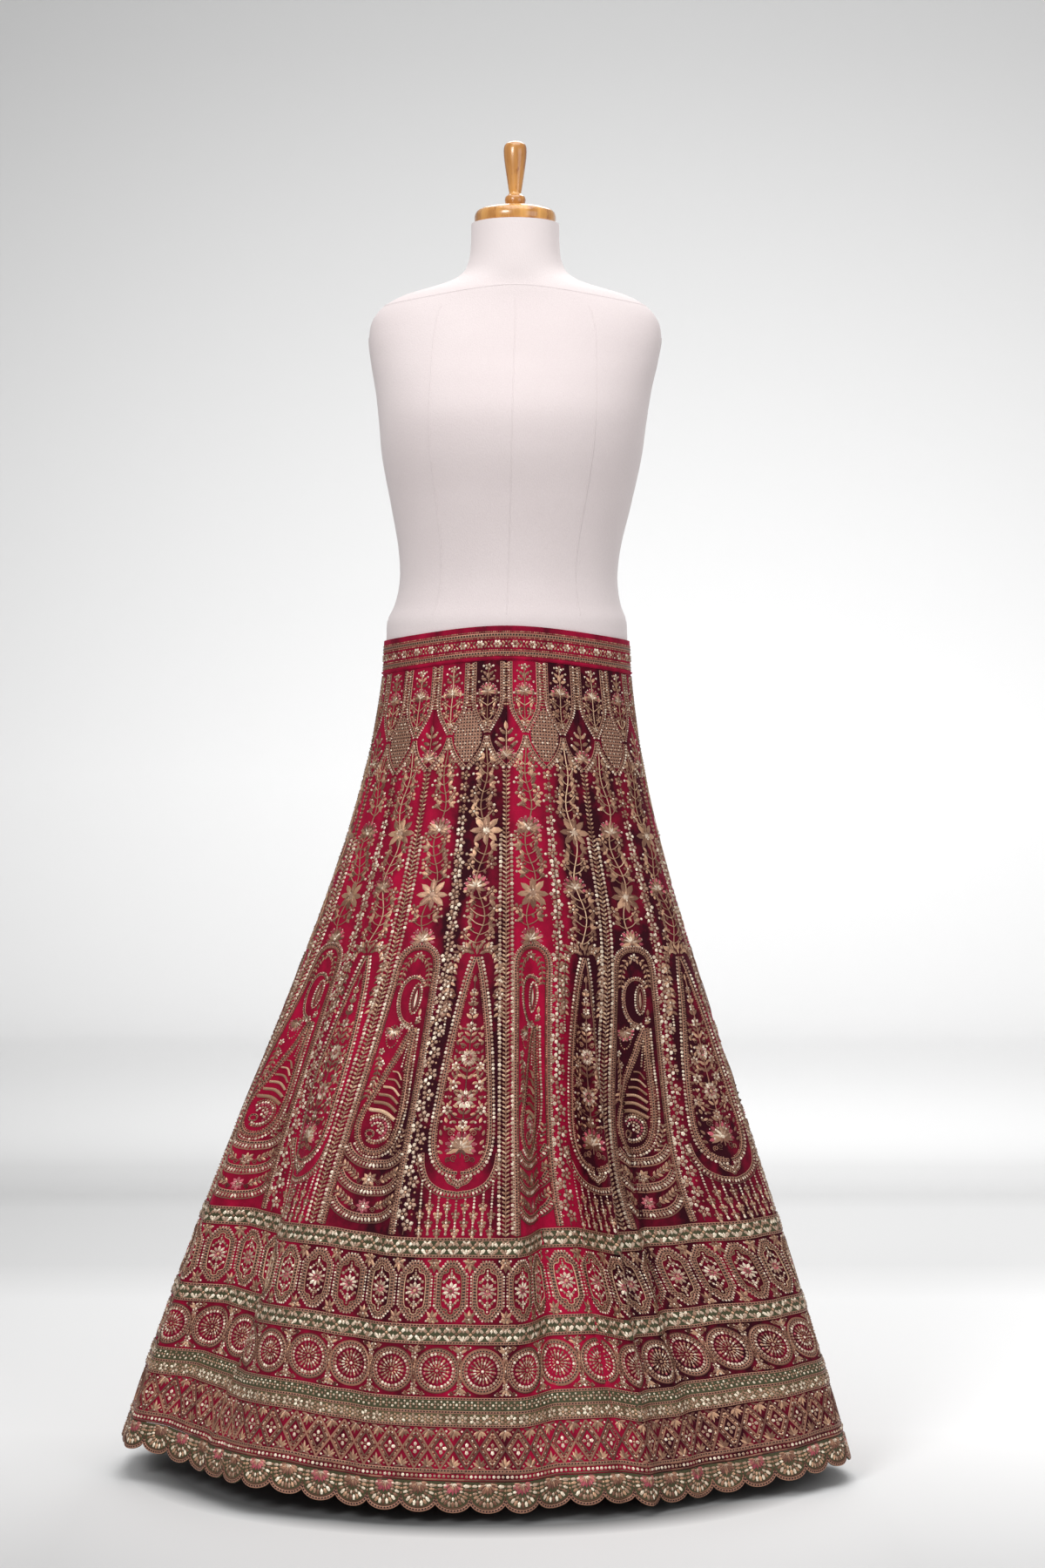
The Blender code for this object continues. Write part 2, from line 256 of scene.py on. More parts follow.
@dataclass
class Cloth(Surface):
    """The skirt's cloth from the waist line to the scallops' tips, with the large folds of its solids."""

    waist: tuple = (0.1475, 0.112)        # half sizes of the oval that the kalis leave
    waist_height: float = 0.942
    waist_dip: float = 0.007
    centre: float = -0.001
    hip_hug: float = 0.64
    side_cut: float = 0.01
    levels: int = 193
    reach: tuple = ((0, 0.324), (20, 0.347), (35, 0.325), (50, 0.348), (64, 0.402), (76, 0.414),
        (90, 0.377), (112, 0.39), (140, 0.362), (165, 0.35), (190, 0.352), (215, 0.368), (240, 0.402),
        (257, 0.439), (272, 0.454), (285, 0.454), (300, 0.415), (315, 0.407), (330, 0.359), (345, 0.338))
    # from, to, left flank, right flank, depth, start, full, share left at the hem
    folds: tuple = ((12.2, 24.4, 9.8, 5.8, 0.071, 0.2, 0.66, 0.4),
        (34, 39.7, 5.7, 14.2, 0.036, 0.25, 0.66, 0.21), (49.2, 55.6, 8.9, 8.9, 0.046, 0.3, 0.75, 0.23),
        (92, 95, 9, 9, 0.056, 0.12, 0.8, 1.0), (118, 122, 9, 9, 0.062, 0.16, 0.75, 0.9),
        (145, 148, 9, 9, 0.054, 0.2, 0.8, 1.0), (172, 178, 9, 9, 0.066, 0.12, 0.7, 0.85),
        (203, 206, 9, 9, 0.056, 0.22, 0.85, 1.0), (229, 234, 9, 9, 0.062, 0.16, 0.75, 0.9),
        (256, 259, 9, 8, 0.046, 0.22, 0.8, 1.0), (289.1, 296.5, 5.6, 9.5, 0.045, 0.3, 0.8, 0.5),
        (296.4, 304.2, 17.4, 9.5, 0.002, 0.25, 0.66, 0.7), (304.5, 317, 4.6, 20.3, 0.011, 0.25, 0.66, 1.41),
        (334.4, 340.3, 9.5, 9.9, -0.009, 0.3, 0.66, 0.09))
    # smaller creases that only the visible cloth has, in the same columns
    creases: tuple = ((2, 3.5, 4, 3, 0.0035, 0.3, 0.62, 0.2), (28.5, 30, 3, 3.5, 0.003, 0.22, 0.6, 0.6),
        (44, 45, 4, 4, 0.0045, 0.15, 0.55, 0.8), (64, 66, 4, 5, 0.006, 0.2, 0.7, 1.0),
        (76, 77, 4, 4, 0.004, 0.1, 0.5, 0.5), (105, 107, 4, 5, 0.005, 0.25, 0.7, 1.0),
        (133, 134.5, 4, 4, 0.0045, 0.2, 0.6, 0.7), (159, 161, 5, 4, 0.006, 0.15, 0.75, 1.0),
        (189, 190.5, 4, 4, 0.0045, 0.3, 0.7, 0.8), (217, 219, 4, 5, 0.0055, 0.2, 0.65, 1.0),
        (244, 245.5, 4, 4, 0.0045, 0.25, 0.6, 0.6), (270, 272, 5, 4, 0.005, 0.2, 0.75, 1.0),
        (279, 280, 3, 3, 0.0035, 0.3, 0.6, 0.7), (318, 319.5, 4, 4, 0.004, 0.25, 0.55, 0.6),
        (328, 329, 3, 4, 0.003, 0.4, 0.7, 0.9), (357, 358, 3, 3, 0.0025, 0.2, 0.5, 0.2))

    def __post_init__(self) -> None:
        """Work out the cloth's tables."""
        self.tabulate([self.curve(level) for level in np.linspace(0.0, KALI_LENGTH, self.levels)], 0.0,
            KALI_LENGTH)

    def fold_depth(self, bearing: Array, share: float) -> Array:
        """How far folds and creases press the cloth in, at a share of its length.

        Args:
            bearing: bearings from the front, in radians.
            share: how far down the cloth, 0 to 1.

        Returns:
            The depths.
        """
        total = np.zeros_like(bearing)
        for first, last, left, right, depth, start, full, at_hem in self.folds + self.creases:
            middle, half = math.radians((first + last) / 2), math.radians((last - first) / 2)
            off = np.mod(bearing - middle + math.pi, TURN) - math.pi
            flanks = (ease((off + half) / math.radians(left) + 1.0)
                * ease((half - off) / math.radians(right) + 1.0))
            kept = 1.0 + (at_hem - 1.0) * ease((share - full) / (1.0 - full))
            total += depth * ease((share - start) / (full - start)) * kept * flanks
        return total

    def curve(self, level: float) -> Array:
        """The cloth's closed curve at a level, from the front and round by +x.

        Args:
            level: how far down the cloth.

        Returns:
            The curve's points.
        """
        share, bearing = level / KALI_LENGTH, np.linspace(0.0, TURN, 1441)
        flare = lambda s: s - self.hip_hug * s * (1.0 - s) ** 3
        waist = oval(bearing, *self.waist)
        spread = around(self.reach, bearing) - waist
        reach = waist + spread * flare(share) - self.fold_depth(bearing, share)
        steps = np.linspace(0.0, share, 65)
        cut = KALI_LENGTH * (1.0 - self.side_cut * np.sin(bearing) ** 2)
        fall = np.sqrt((cut[:, None] * np.diff(steps)) ** 2 - (spread[:, None] * np.diff(flare(steps))) ** 2)
        height = self.waist_height + self.waist_dip * np.cos(2.0 * bearing) - fall.sum(axis=1)
        return beside(reach * np.sin(bearing), self.centre - reach * np.cos(bearing), height)

    def half(self, level: Array) -> Array:
        """Half a kali's width at a level."""
        return self.girth(level) / (2 * KALIS)


@dataclass
class Waist(Surface):
    """The waistband's outer face: level 0 is its top edge."""

    high: float = 0.04
    wall: float = 0.0022
    gap: float = 0.0004
    seam: float = 0.0003
    form: tuple = mm((145.4, 110, 925), (143.3, 107.9, 995))   # the form there: half sizes, height
    height: float = 0.942
    dip: float = 0.007
    centre: float = -0.001

    def __post_init__(self) -> None:
        """Work out the band's tables."""
        curves = []
        for level in np.linspace(0.0, self.high, 5):
            bearing = np.linspace(0.0, TURN, 721)
            z = self.height + self.dip * np.cos(2 * bearing) + self.seam + self.high - level
            reach = oval(bearing, read(self.form, 0, z), read(self.form, 1, z)) + self.gap + self.wall
            curves.append(beside(reach * np.sin(bearing), self.centre - reach * np.cos(bearing), z))
        self.tabulate(curves, 0.0, self.high)


# ---- shader tools
def operator(operation: str, reflected: bool = False) -> Callable:
    """A method that adds one Math node, with its terms changed over if it is reflected.

    Args:
        operation: the Math node's operation.
        reflected: whether self is the last term.

    Returns:
        The method.
    """
    def method(self: "Value", *other: object) -> "Value":
        """The operation on self and the other term."""
        return self.maths(operation, *((*other, self) if reflected else (self, *other)))
    return method


class Value:
    """A socket that gives a number, so that shader maths is written as plain expressions."""

    def __init__(self, look: "Look", socket: Socket) -> None:
        """Hold the socket and the material that it is in."""
        self.look, self.socket = look, socket

    def maths(self, operation: str, *terms: object) -> "Value":
        """The result of a Math node on some terms."""
        made = self.look.node("ShaderNodeMath", {"operation": operation}, dict(enumerate(terms)))
        return Value(self.look, made.outputs[0])

    __add__ = __radd__ = operator("ADD")
    __mul__ = __rmul__ = operator("MULTIPLY")
    __sub__, __rsub__ = operator("SUBTRACT"), operator("SUBTRACT", True)
    __lt__, __gt__ = operator("LESS_THAN"), operator("GREATER_THAN")
    __abs__, wave, part = operator("ABSOLUTE"), operator("SINE"), operator("FRACT")

    def clamp(self) -> "Value":
        """Self kept between 0 and 1."""
        made = self.look.node("ShaderNodeClamp", {}, {"Value": self})
        return Value(self.look, made.outputs[0])


class Look:
    """A material while it is made: one Principled surface and the nodes that feed it."""

    def __init__(self, name: str, roughness: float, metallic: float = 0.0) -> None:
        """Start a material with a plain surface.

        Args:
            name: the material's name.
            roughness: the surface's roughness.
            metallic: how metallic it is.
        """
        self.material = bpy.data.materials.new(name)
        self.material.use_nodes = True
        self.tree = self.material.node_tree
        self.surface = self.tree.nodes["Principled BSDF"]
        self.surface.inputs["Roughness"].default_value = roughness
        self.surface.inputs["Metallic"].default_value = metallic

    def node(self, kind: str, settings: dict, inputs: dict) -> bpy.types.Node:
        """Add a node.

        Args:
            kind: the node's type.
            settings: what is set on the node first.
            inputs: values or links for its sockets, by name or number.

        Returns:
            The new node.
        """
        made = self.tree.nodes.new(kind)
        for key, value in settings.items():
            setattr(made, key, value)
        for key, value in inputs.items():
            self.feed(made.inputs[key], value)
        return made

    def feed(self, socket: Socket, value: object) -> None:
        """Link a value or an output to a socket, or set it.

        Args:
            socket: the socket.
            value: what it gets.
        """
        source = value.socket if isinstance(value, Value) else value
        if isinstance(source, Socket):
            self.tree.links.new(source, socket)
        else:
            socket.default_value = source

    def set(self, **inputs: object) -> Material:
        """Set or feed the surface's sockets.

        Args:
            inputs: values or outputs, by the sockets' names with _ for spaces.

        Returns:
            The material.
        """
        for key, value in inputs.items():
            self.feed(self.surface.inputs[key.replace("_", " ")], value)
        return self.material

    def attribute(self, name: str) -> Value:
        """A number kept on the mesh."""
        return Value(self, self.node("ShaderNodeAttribute", {"attribute_name": name}, {}).outputs["Fac"])

    def pattern(self) -> tuple:
        """The two coordinates of the flat pattern: across or along, and down or over."""
        return self.parts(self.node("ShaderNodeUVMap", {"uv_map": "flat"}, {}).outputs[0])[:2]

    def parts(self, vector: Socket) -> list:
        """A vector's three numbers."""
        made = self.node("ShaderNodeSeparateXYZ", {}, {0: vector})
        return [Value(self, made.outputs[i]) for i in range(3)]

    def place(self) -> Socket:
        """The place in the object's own space."""
        return self.node("ShaderNodeTexCoord", {}, {}).outputs["Object"]

    def noise(self, scale: float, detail: float = 2.0, stretch: tuple = (1.0, 1.0, 1.0)) -> Value:
        """Soft noise in the object's own space.

        Args:
            scale: how fine it is.
            detail: its octaves.
            stretch: its scale along each axis.

        Returns:
            The noise, 0 to 1.
        """
        place = self.node("ShaderNodeMapping", {}, {"Vector": self.place(), "Scale": stretch}).outputs[0]
        made = self.node("ShaderNodeTexNoise", {}, {"Vector": place, "Scale": scale, "Detail": detail})
        return Value(self, made.outputs["Fac"])

    def blend(self, share: object, first: object, second: object) -> Socket:
        """Two colours mixed by a share.

        Args:
            share: how much of the second colour there is.
            first: a colour or an output.
            second: a colour or an output.

        Returns:
            The mixed colour.
        """
        made = self.node("ShaderNodeMix", {"data_type": "RGBA"}, {0: share})
        for socket, colour in ((made.inputs[6], first), (made.inputs[7], second)):
            self.feed(socket, (*colour, 1.0) if isinstance(colour, tuple) else colour)
        return made.outputs[2]

    def bump(self, height: Value, distance: float, strength: float) -> Socket:
        """Fine relief for the surface's normal."""
        made = self.node("ShaderNodeBump", {}, {"Height": height, "Distance": distance, "Strength": strength})
        return made.outputs[0]


# ---- finishes
@dataclass(frozen=True)
class Velvet:
    """Cotton velvet: dark where the pile points away and where shade is painted, crimson where it leans and
    where the folds' sheen is painted, with a soft sheen.
    """

    name: str = "wine_velvet"
    dark: tuple = (0.028, 0.0008, 0.005)
    bright: tuple = (0.41, 0.003, 0.038)

    def make(self) -> Material:
        """Build the material.

        Returns:
            The material.
        """
        look = Look(self.name, 0.75)
        streak = look.noise(26.0, 3.0, (1.0, 1.0, 0.12))
        mottle = look.noise(90.0, 4.0)
        crush = look.noise(55.0, 3.0, (1.0, 1.0, 0.35))
        # painted shade and sheen of the folds, with the pile's lay, from numbers kept on the mesh, plus
        # random streaks, crush and mottle
        lean_and_shade = look.attribute("nap_and_painted_shade") * 0.95 + (streak - 0.5) * 0.8 + (crush - 0.5) * 1.0 + (mottle
            - 0.5) * 0.6
        lean_and_shade = (lean_and_shade - 0.05).clamp()
        colour = look.blend(lean_and_shade, self.dark, self.bright)
        pile = look.noise(2600.0)
        return look.set(Base_Color=colour, Normal=look.bump(pile + mottle * 2.0, 0.0005, 0.55),
            Sheen_Weight=0.35, Sheen_Roughness=0.35, Sheen_Tint=(1.0, 0.12, 0.25, 1.0),
            Specular_IOR_Level=0.12)


@dataclass(frozen=True)
class Thread:
    """Metal thread or beads: each stitched piece has its own random tone between two colours, which also
    stands in for painted glints.
    """

    name: str
    deep: tuple
    light: tuple
    roughness: float
    metallic: float
    twist: float = 0.0            # stitches for each millimetre along a cord

    def make(self) -> Material:
        """Build the material.

        Returns:
            The material.
        """
        look = Look(self.name, self.roughness, self.metallic)
        tone = look.attribute("tone")
        fine = look.noise(1500.0)
        # each piece's random tone, squared so that most are dark and a few bright, also stands in for painted
        # glints
        share = (tone * tone + (fine - 0.5) * 0.6 + 0.06).clamp()
        height = fine
        if self.twist:
            run, over = look.pattern()
            height = (run * (self.twist * TURN * 1000.0) + over * 2.2).wave() * 0.5 + fine * 0.5
        return look.set(Base_Color=look.blend(share, self.deep, self.light),
            Normal=look.bump(height, 0.0004, 0.6))


@dataclass(frozen=True)
class Chain:
    """A braid of small loops between two fine cords, with the ground showing through the loops."""

    name: str = "chain_braid"
    thread: tuple = (0.22, 0.09, 0.056)
    edge: tuple = (0.43, 0.22, 0.145)
    hole: tuple = (0.014, 0.002, 0.004)
    pitch: float = 0.0034

    def make(self) -> Material:
        """Build the material.

        Returns:
            The material.
        """
        look = Look(self.name, 0.45, 0.45)
        run, over = look.pattern()
        cell = (run * (1.0 / self.pitch)).part() - 0.5
        size = cell * cell * 6.0 + over * over * 2.4
        hole = size < 0.62
        edge = abs(over) > 0.72
        fine = look.noise(1200.0)
        colour = look.blend(edge, look.blend(fine, self.thread, self.edge), self.edge)
        colour = look.blend(hole, colour, self.hole)
        height = size.clamp() + edge * 0.5 + fine * 0.3
        return look.set(Base_Color=colour, Normal=look.bump(height, 0.0006, 0.8))


@dataclass(frozen=True)
class Ground:
    """A brocade ground of fine ribs, in two colours."""

    name: str
    deep: tuple
    light: tuple
    rib: float = 0.0009
    metallic: float = 0.2

    def make(self) -> Material:
        """Build the material.

        Returns:
            The material.
        """
        look = Look(self.name, 0.6, self.metallic)
        across, down = look.pattern()
        ribs = (across * (TURN / self.rib)).wave() * (down * (TURN / self.rib)).wave() * 0.5 + 0.5
        fine = look.noise(700.0, 3.0)
        share = (ribs * 0.6 + (fine - 0.5) * 0.9 + 0.15).clamp()
        return look.set(Base_Color=look.blend(share, self.deep, self.light),
            Normal=look.bump(ribs + fine, 0.0004, 0.6))


@dataclass(frozen=True)
class Cover:
    """The form's pale knitted cover, painted paler above the neck as a painted highlight."""

    name: str = "form_cover"
    deep: tuple = (0.63, 0.545, 0.545)
    light: tuple = (0.8, 0.72, 0.715)
    neck: float = 1.39            # the height above which the cover is painted paler, a painted highlight

    def make(self) -> Material:
        """Build the material.

        Returns:
            The material.
        """
        look = Look(self.name, 0.85)
        cloud = look.noise(6.0, 3.0)
        knit = look.noise(900.0, 2.0, (1.0, 1.0, 0.5))
        # painted highlight: the cover is painted paler above the neck height
        neck = ((look.parts(look.place())[2] - self.neck) * 30.0).clamp()
        share = (cloud * 0.7 + knit * 0.5 - 0.1 + neck * 0.9).clamp()
        return look.set(Base_Color=look.blend(share, self.deep, self.light),
            Normal=look.bump(knit, 0.0006, 0.5), Sheen_Weight=0.15)


@dataclass(frozen=True)
class Wood:
    """Polished honey-coloured wood with its grain along the axis."""

    name: str = "turned_wood"
    deep: tuple = (0.3, 0.09, 0.012)
    light: tuple = (0.84, 0.43, 0.11)

    def make(self) -> Material:
        """Build the material.

        Returns:
            The material.
        """
        look = Look(self.name, 0.28)
        grain = look.noise(60.0, 5.0, (1.0, 1.0, 0.1))
        pores = look.noise(420.0, 2.0, (1.0, 1.0, 0.06))
        share = ((grain - 0.5) * 2.6 + 0.5 - (pores < 0.36) * 0.25).clamp()
        return look.set(Base_Color=look.blend(share, self.deep, self.light), Roughness=grain * 0.15 + 0.2,
            Coat_Weight=0.9, Coat_Roughness=0.16, Normal=look.bump(pores, 0.0002, 0.3))


@dataclass(frozen=True)
class Metal:
    """Brushed steel, with its scratches along one axis."""

    name: str
    colour: tuple
    stretch: tuple = (1.0, 1.0, 0.02)

    def make(self) -> Material:
        """Build the material.

        Returns:
            The material.
        """
        look = Look(self.name, 0.3, 1.0)
        brush = look.noise(900.0, 3.0, self.stretch)
        wear = look.noise(14.0, 3.0)
        dim = tuple(c * 0.72 for c in self.colour)
        return look.set(Base_Color=look.blend((brush * 0.6 + wear * 0.5).clamp(), dim, self.colour),
            Roughness=wear * 0.2 + 0.22, Normal=look.bump(brush, 0.0001, 0.35))


class Finish(Enum):
    """What a stitched piece is made of."""

    THREAD = Thread("copper_thread", (0.1, 0.03, 0.02), (0.4, 0.185, 0.115), 0.45, 0.3, 0.9)
    CHAIN = Chain()
    GOLD = Thread("gold_bead", (0.14, 0.055, 0.032), (0.62, 0.36, 0.22), 0.32, 0.4)
    PEARL = Thread("pearl_bead", (0.3, 0.15, 0.09), (0.96, 0.82, 0.64), 0.24, 0.25)
    PINK = Thread("pink_silk", (0.22, 0.018, 0.035), (0.66, 0.13, 0.17), 0.45, 0.05)
    SATIN = Thread("satin_stitch", (0.24, 0.11, 0.06), (0.7, 0.46, 0.29), 0.35, 0.3, 0.5)


THREAD, CHAIN, GOLD, PEARL, PINK, SATIN = Finish


# ---- meshes
def mesh_object(name: str, points: Array, faces: Array, looks: list, slots: Array | int = 0,
        uvs: Array | None = None, values: dict | None = None) -> Object:
    """Make an object from arrays.

    Args:
        name: the piece's name.
        points: its vertices.
        faces: its triangles or quads, one row each.
        looks: its materials.
        slots: the material of each face.
        uvs: a flat-pattern place for each vertex.
        values: numbers kept on the vertices, by name.

    Returns:
        The object, smooth shaded and linked to the scene.
    """
    mesh = bpy.data.meshes.new(name)
    sides = faces.shape[1]
    mesh.vertices.add(len(points))
    mesh.vertices.foreach_set("co", np.ascontiguousarray(points, np.float32).ravel())
    mesh.loops.add(faces.size)
    mesh.loops.foreach_set("vertex_index", np.ascontiguousarray(faces, np.int32).ravel())
    mesh.polygons.add(len(faces))
    mesh.polygons.foreach_set("loop_start", np.arange(len(faces), dtype=np.int32) * sides)
    mesh.polygons.foreach_set("material_index", np.broadcast_to(slots, len(faces)).astype(np.int32))
    mesh.polygons.foreach_set("use_smooth", np.ones(len(faces), bool))
    if uvs is not None:
        layer = mesh.uv_layers.new(name="flat")
        layer.data.foreach_set("uv", np.ascontiguousarray(uvs[faces.ravel()], np.float32).ravel())
    for key, numbers in (values or {}).items():
        mesh.attributes.new(key, "FLOAT", "POINT").data.foreach_set("value", np.asarray(numbers, np.float32))
    mesh.update()
    mesh.validate()
    for look in looks:
        mesh.materials.append(look)
    made = bpy.data.objects.new(name, mesh)
    bpy.context.scene.collection.objects.link(made)
    return made


def grid_faces(rows: int, columns: int, closed: bool) -> Array:
    """Quads of a grid whose rows run down and whose columns run to the right, facing outwards.

    Args:
        rows: how many rows of points there are.
        columns: how many columns there are.
        closed: whether the last column joins the first.

    Returns:
        The quads.
    """
    across = columns if closed else columns - 1
    row, column = (g.ravel() for g in np.meshgrid(np.arange(rows - 1), np.arange(across), indexing="ij"))
    right = (column + 1) % columns
    return beside(row * columns + column, (row + 1) * columns + column, (row + 1) * columns + right,
        row * columns + right)


def capped(name: str, points: Array, sides: int, ends: Array, look: Material) -> Object:
    """A closed tube of rings, with a fan over each end.

    Args:
        name: the piece's name.
        points: the rings' points, from the top ring down.
        sides: how many points a ring has.
        ends: the middles of the upper and the lower fan.
        look: its material.

    Returns:
        The object.
    """
    quads, i = grid_faces(len(points) // sides, sides, True), np.arange(sides)
    j, low, count = (i + 1) % sides, len(points) - sides, len(points)
    faces = join([quads[:, [0, 1, 2]], quads[:, [0, 2, 3]], beside(count, i, j),
        beside(count + 1, low + j, low + i)])
    made = mesh_object(name, join([points, ends]), faces, [look])
    made.data.set_sharp_from_angle(angle=math.radians(50))
    return made


def shell(name: str, surface: Surface, shares: Array, levels: Array, lift: float, wall: float,
        look: Material, closed: bool, values: dict | None = None) -> Object:
    """A thin shell of cloth on a surface, with both faces and its cut edges.

    Args:
        name: the piece's name.
        surface: what it lies on.
        shares: its columns, as shares of the way around.
        levels: its rows: a list of levels, or an array of levels by column.
        lift: its outer face's height above the surface.
        wall: its thickness.
        look: its material.
        closed: whether it runs all the way round.
        values: numbers kept on the outer face's vertices, by name.

    Returns:
        The object.
    """
    level = levels if levels.ndim == 2 else np.repeat(levels[:, None], len(shares), axis=1)
    share = np.broadcast_to(shares, level.shape)
    rows, columns = level.shape
    faces = grid_faces(rows, columns, closed)
    flat = share.ravel(), level.ravel()
    outer = surface.at(*flat, np.full(level.size, lift))
    inner = surface.at(*flat, np.full(level.size, lift - wall))
    uv = beside(share.ravel() * surface.girth(flat[1]), flat[1])
    skin = rows * columns
    index = np.arange(skin).reshape(rows, columns)
    if closed:
        index = join([index, index[:, :1]], axis=1)
    rims = [index[0, ::-1], index[-1]] + ([] if closed else [index[:, 0], index[::-1, -1]])
    edges = [beside(rim[:-1], rim[:-1] + skin, rim[1:] + skin, rim[1:]) for rim in rims]
    made = mesh_object(name, join([outer, inner]), join([faces, faces[:, ::-1] + skin] + edges), [look], 0,
        join([uv, uv]), {k: join([v, v]) for k, v in (values or {}).items()})
    made.data.set_sharp_from_angle(angle=math.radians(60))
    return made


# ---- needlework
def cone(rim: list, middle: float) -> tuple:
    """The points and triangles of a low cone over a rim, with its top at a length of its own."""
    points = np.array([(x, y, 0.0) for x, y in rim] + [(middle, 0.0, 1.0)])
    return points, np.array([(i, (i + 1) % len(rim), len(rim)) for i in range(len(rim))])


BEAD = cone([(0.5 * math.cos(a), 0.5 * math.sin(a)) for a in np.arange(5) * TURN / 5], 0.0)
LEAF = cone([(0.0, 0.0), (0.28, 0.46), (0.66, 0.42), (1.0, 0.0), (0.66, -0.42), (0.28, -0.46)], 0.5)


class Motif:
    """Stitched shapes drawn flat: x to the right, level down the cloth and height off it, in metres."""

    def __init__(self, seed: int) -> None:
        """Start an empty motif with its own unevenness.

        Args:
            seed: for its unevenness.
        """
        self.points, self.faces, self.slots, self.tones, self.uvs = [], [], [], [], []
        self.count = 0
        self.dice = np.random.default_rng(seed)

    def keep(self, points: Array, faces: Array, finish: Finish, uvs: Array | None = None) -> None:
        """Add copies of one shape.

        Args:
            points: copies by vertices by (x, level, height).
            faces: the shape's triangles.
            finish: what it is made of.
            uvs: a flat place for each vertex.
        """
        copies, size = points.shape[:2]
        offsets = self.count + np.arange(copies)[:, None, None] * size
        self.points.append(points.reshape(-1, 3))
        self.faces.append((faces[None] + offsets).reshape(-1, 3))
        self.slots.append(np.full(copies * len(faces), list(Finish).index(finish)))
        # a random tone for each copy, which also stands in for painted glints
        self.tones.append(np.repeat(self.dice.random(copies), size))
        self.uvs.append(np.zeros((copies * size, 2)) if uvs is None else uvs)
        self.count += copies * size

    def stamp(self, shape: tuple, at: Array, angle: Array | float, length: Array | float,
            width: Array | float, rise: float, finish: Finish) -> None:
        """Put a shape at places.

        Args:
            shape: its points, for a length, width and rise of 1, and its triangles.
            at: (x, level) of each place.
            angle: the heading of its length, from +x towards the hem.
            length: its size along the heading.
            width: its size across.
            rise: its height.
            finish: what it is made of.
        """
        at = np.atleast_2d(at)
        spread = lambda v: np.broadcast_to(np.asarray(v, float), len(at))[:, None]
        uneven = self.dice.normal(1.0, 0.06, len(at))[:, None]
        a = spread(angle) + self.dice.normal(0.0, 0.05, len(at))[:, None]
        points, faces = shape
        x, y = points[:, 0] * spread(length) * uneven, points[:, 1] * spread(width) * uneven
        placed = np.stack([at[:, :1] + x * np.cos(a) - y * np.sin(a), at[:, 1:] + x * np.sin(a)
            + y * np.cos(a), np.broadcast_to(points[:, 2] * rise, x.shape)], axis=2)
        self.keep(placed, faces, finish)

    def beads(self, at: Array, size: float, finish: Finish = GOLD, angle: Array | float = 0.0) -> None:
        """Beads at places."""
        self.stamp(BEAD, at, angle, size, size, size * 0.55, finish)

    def leaves(self, at: Array, angle: Array | float, length: Array | float, width: Array | float,
            finish: Finish = GOLD, rise: float = 0.0011) -> None:
        """Leaves or petals that start at places and run along their angles."""
        self.stamp(LEAF, at, angle, length, width, rise, finish)

    def fan(self, at: tuple, heading: float, angles: tuple, length: Array | float, width: float,
            finish: Finish = GOLD, rise: float = 0.0011) -> None:
        """Leaves from one foot, at angles from a heading."""
        self.leaves([at] * len(angles), heading + np.array(angles), length, width, finish, rise)

    def cord(self, path: Array, width: float, finish: Finish = THREAD, rise: float = 0.0009) -> None:
        """A raised cord or braid along a path.

        Args:
            path: its points.
            width: its width.
            finish: what it is made of.
            rise: its height.
        """
        path, count = np.asarray(path, float), len(path)
        run, i = lengths(path), np.arange(count - 1)
        sides = [beside(*shifted(path, width / 2 * s).T, rise * (1 - abs(s)) + 0.0001)
            for s in (-1.0, 0.0, 1.0)]
        faces = [part for a, b in ((0, count), (count, 2 * count))
            for part in (beside(a + i, a + i + 1, b + i + 1), beside(a + i, b + i + 1, b + i))]
        uvs = join([beside(run, s) for s in (-1.0, 0.0, 1.0)])
        self.keep(join(sides)[None], join(faces), finish, uvs)

    def row(self, path: Array, pitch: float, size: float, finish: Finish = GOLD) -> None:
        """Beads side by side along a path."""
        at, heading = along(path, pitch)
        self.beads(at, size, finish, heading)

    def flowers(self, at: Array, radius: Array | float, petals: int = 5, finish: Finish = PEARL,
            heart: Finish = GOLD, turn: Array | float = 0.0, full: float = 0.66,
            pointed: bool = False) -> None:
        """Flowers at places.

        Args:
            at: their middles.
            radius: from the middle to a petal's tip.
            petals: how many petals each has.
            finish: what the petals are made of.
            heart: what the middle is made of.
            turn: the first petal's heading.
            full: a petal's width as a share of the radius.
            pointed: whether the petals are pointed leaves and not round beads.
        """
        at = np.atleast_2d(at)
        radius, turn = (np.broadcast_to(np.asarray(v, float), len(at)) for v in (radius, turn))
        for index in range(petals):
            angle = turn + index * TURN / petals
            out = beside(np.cos(angle), np.sin(angle)) * radius[:, None]
            if pointed:
                self.leaves(at + out * 0.2, angle, radius * 0.82, radius * full, finish)
            else:
                self.stamp(BEAD, at + out * 0.62, angle, radius * 0.76, radius * full, 0.0013, finish)
        self.stamp(BEAD, at, 0.0, radius * 0.46, radius * 0.46, 0.0014, heart)

    def spray(self, path: Array, pitch: float, length: float, width: float, spread: float = 0.9) -> None:
        """A stem with leaves in pairs.

        Args:
            path: the stem's path.
            pitch: the distance between two pairs.
            length: a leaf's length.
            width: its width.
            spread: the angle between a leaf and the stem.
        """
        self.cord(path, 0.0009)
        at, heading = along(path, pitch)
        for side in (-spread, spread):
            self.leaves(at, heading + side, length, width)

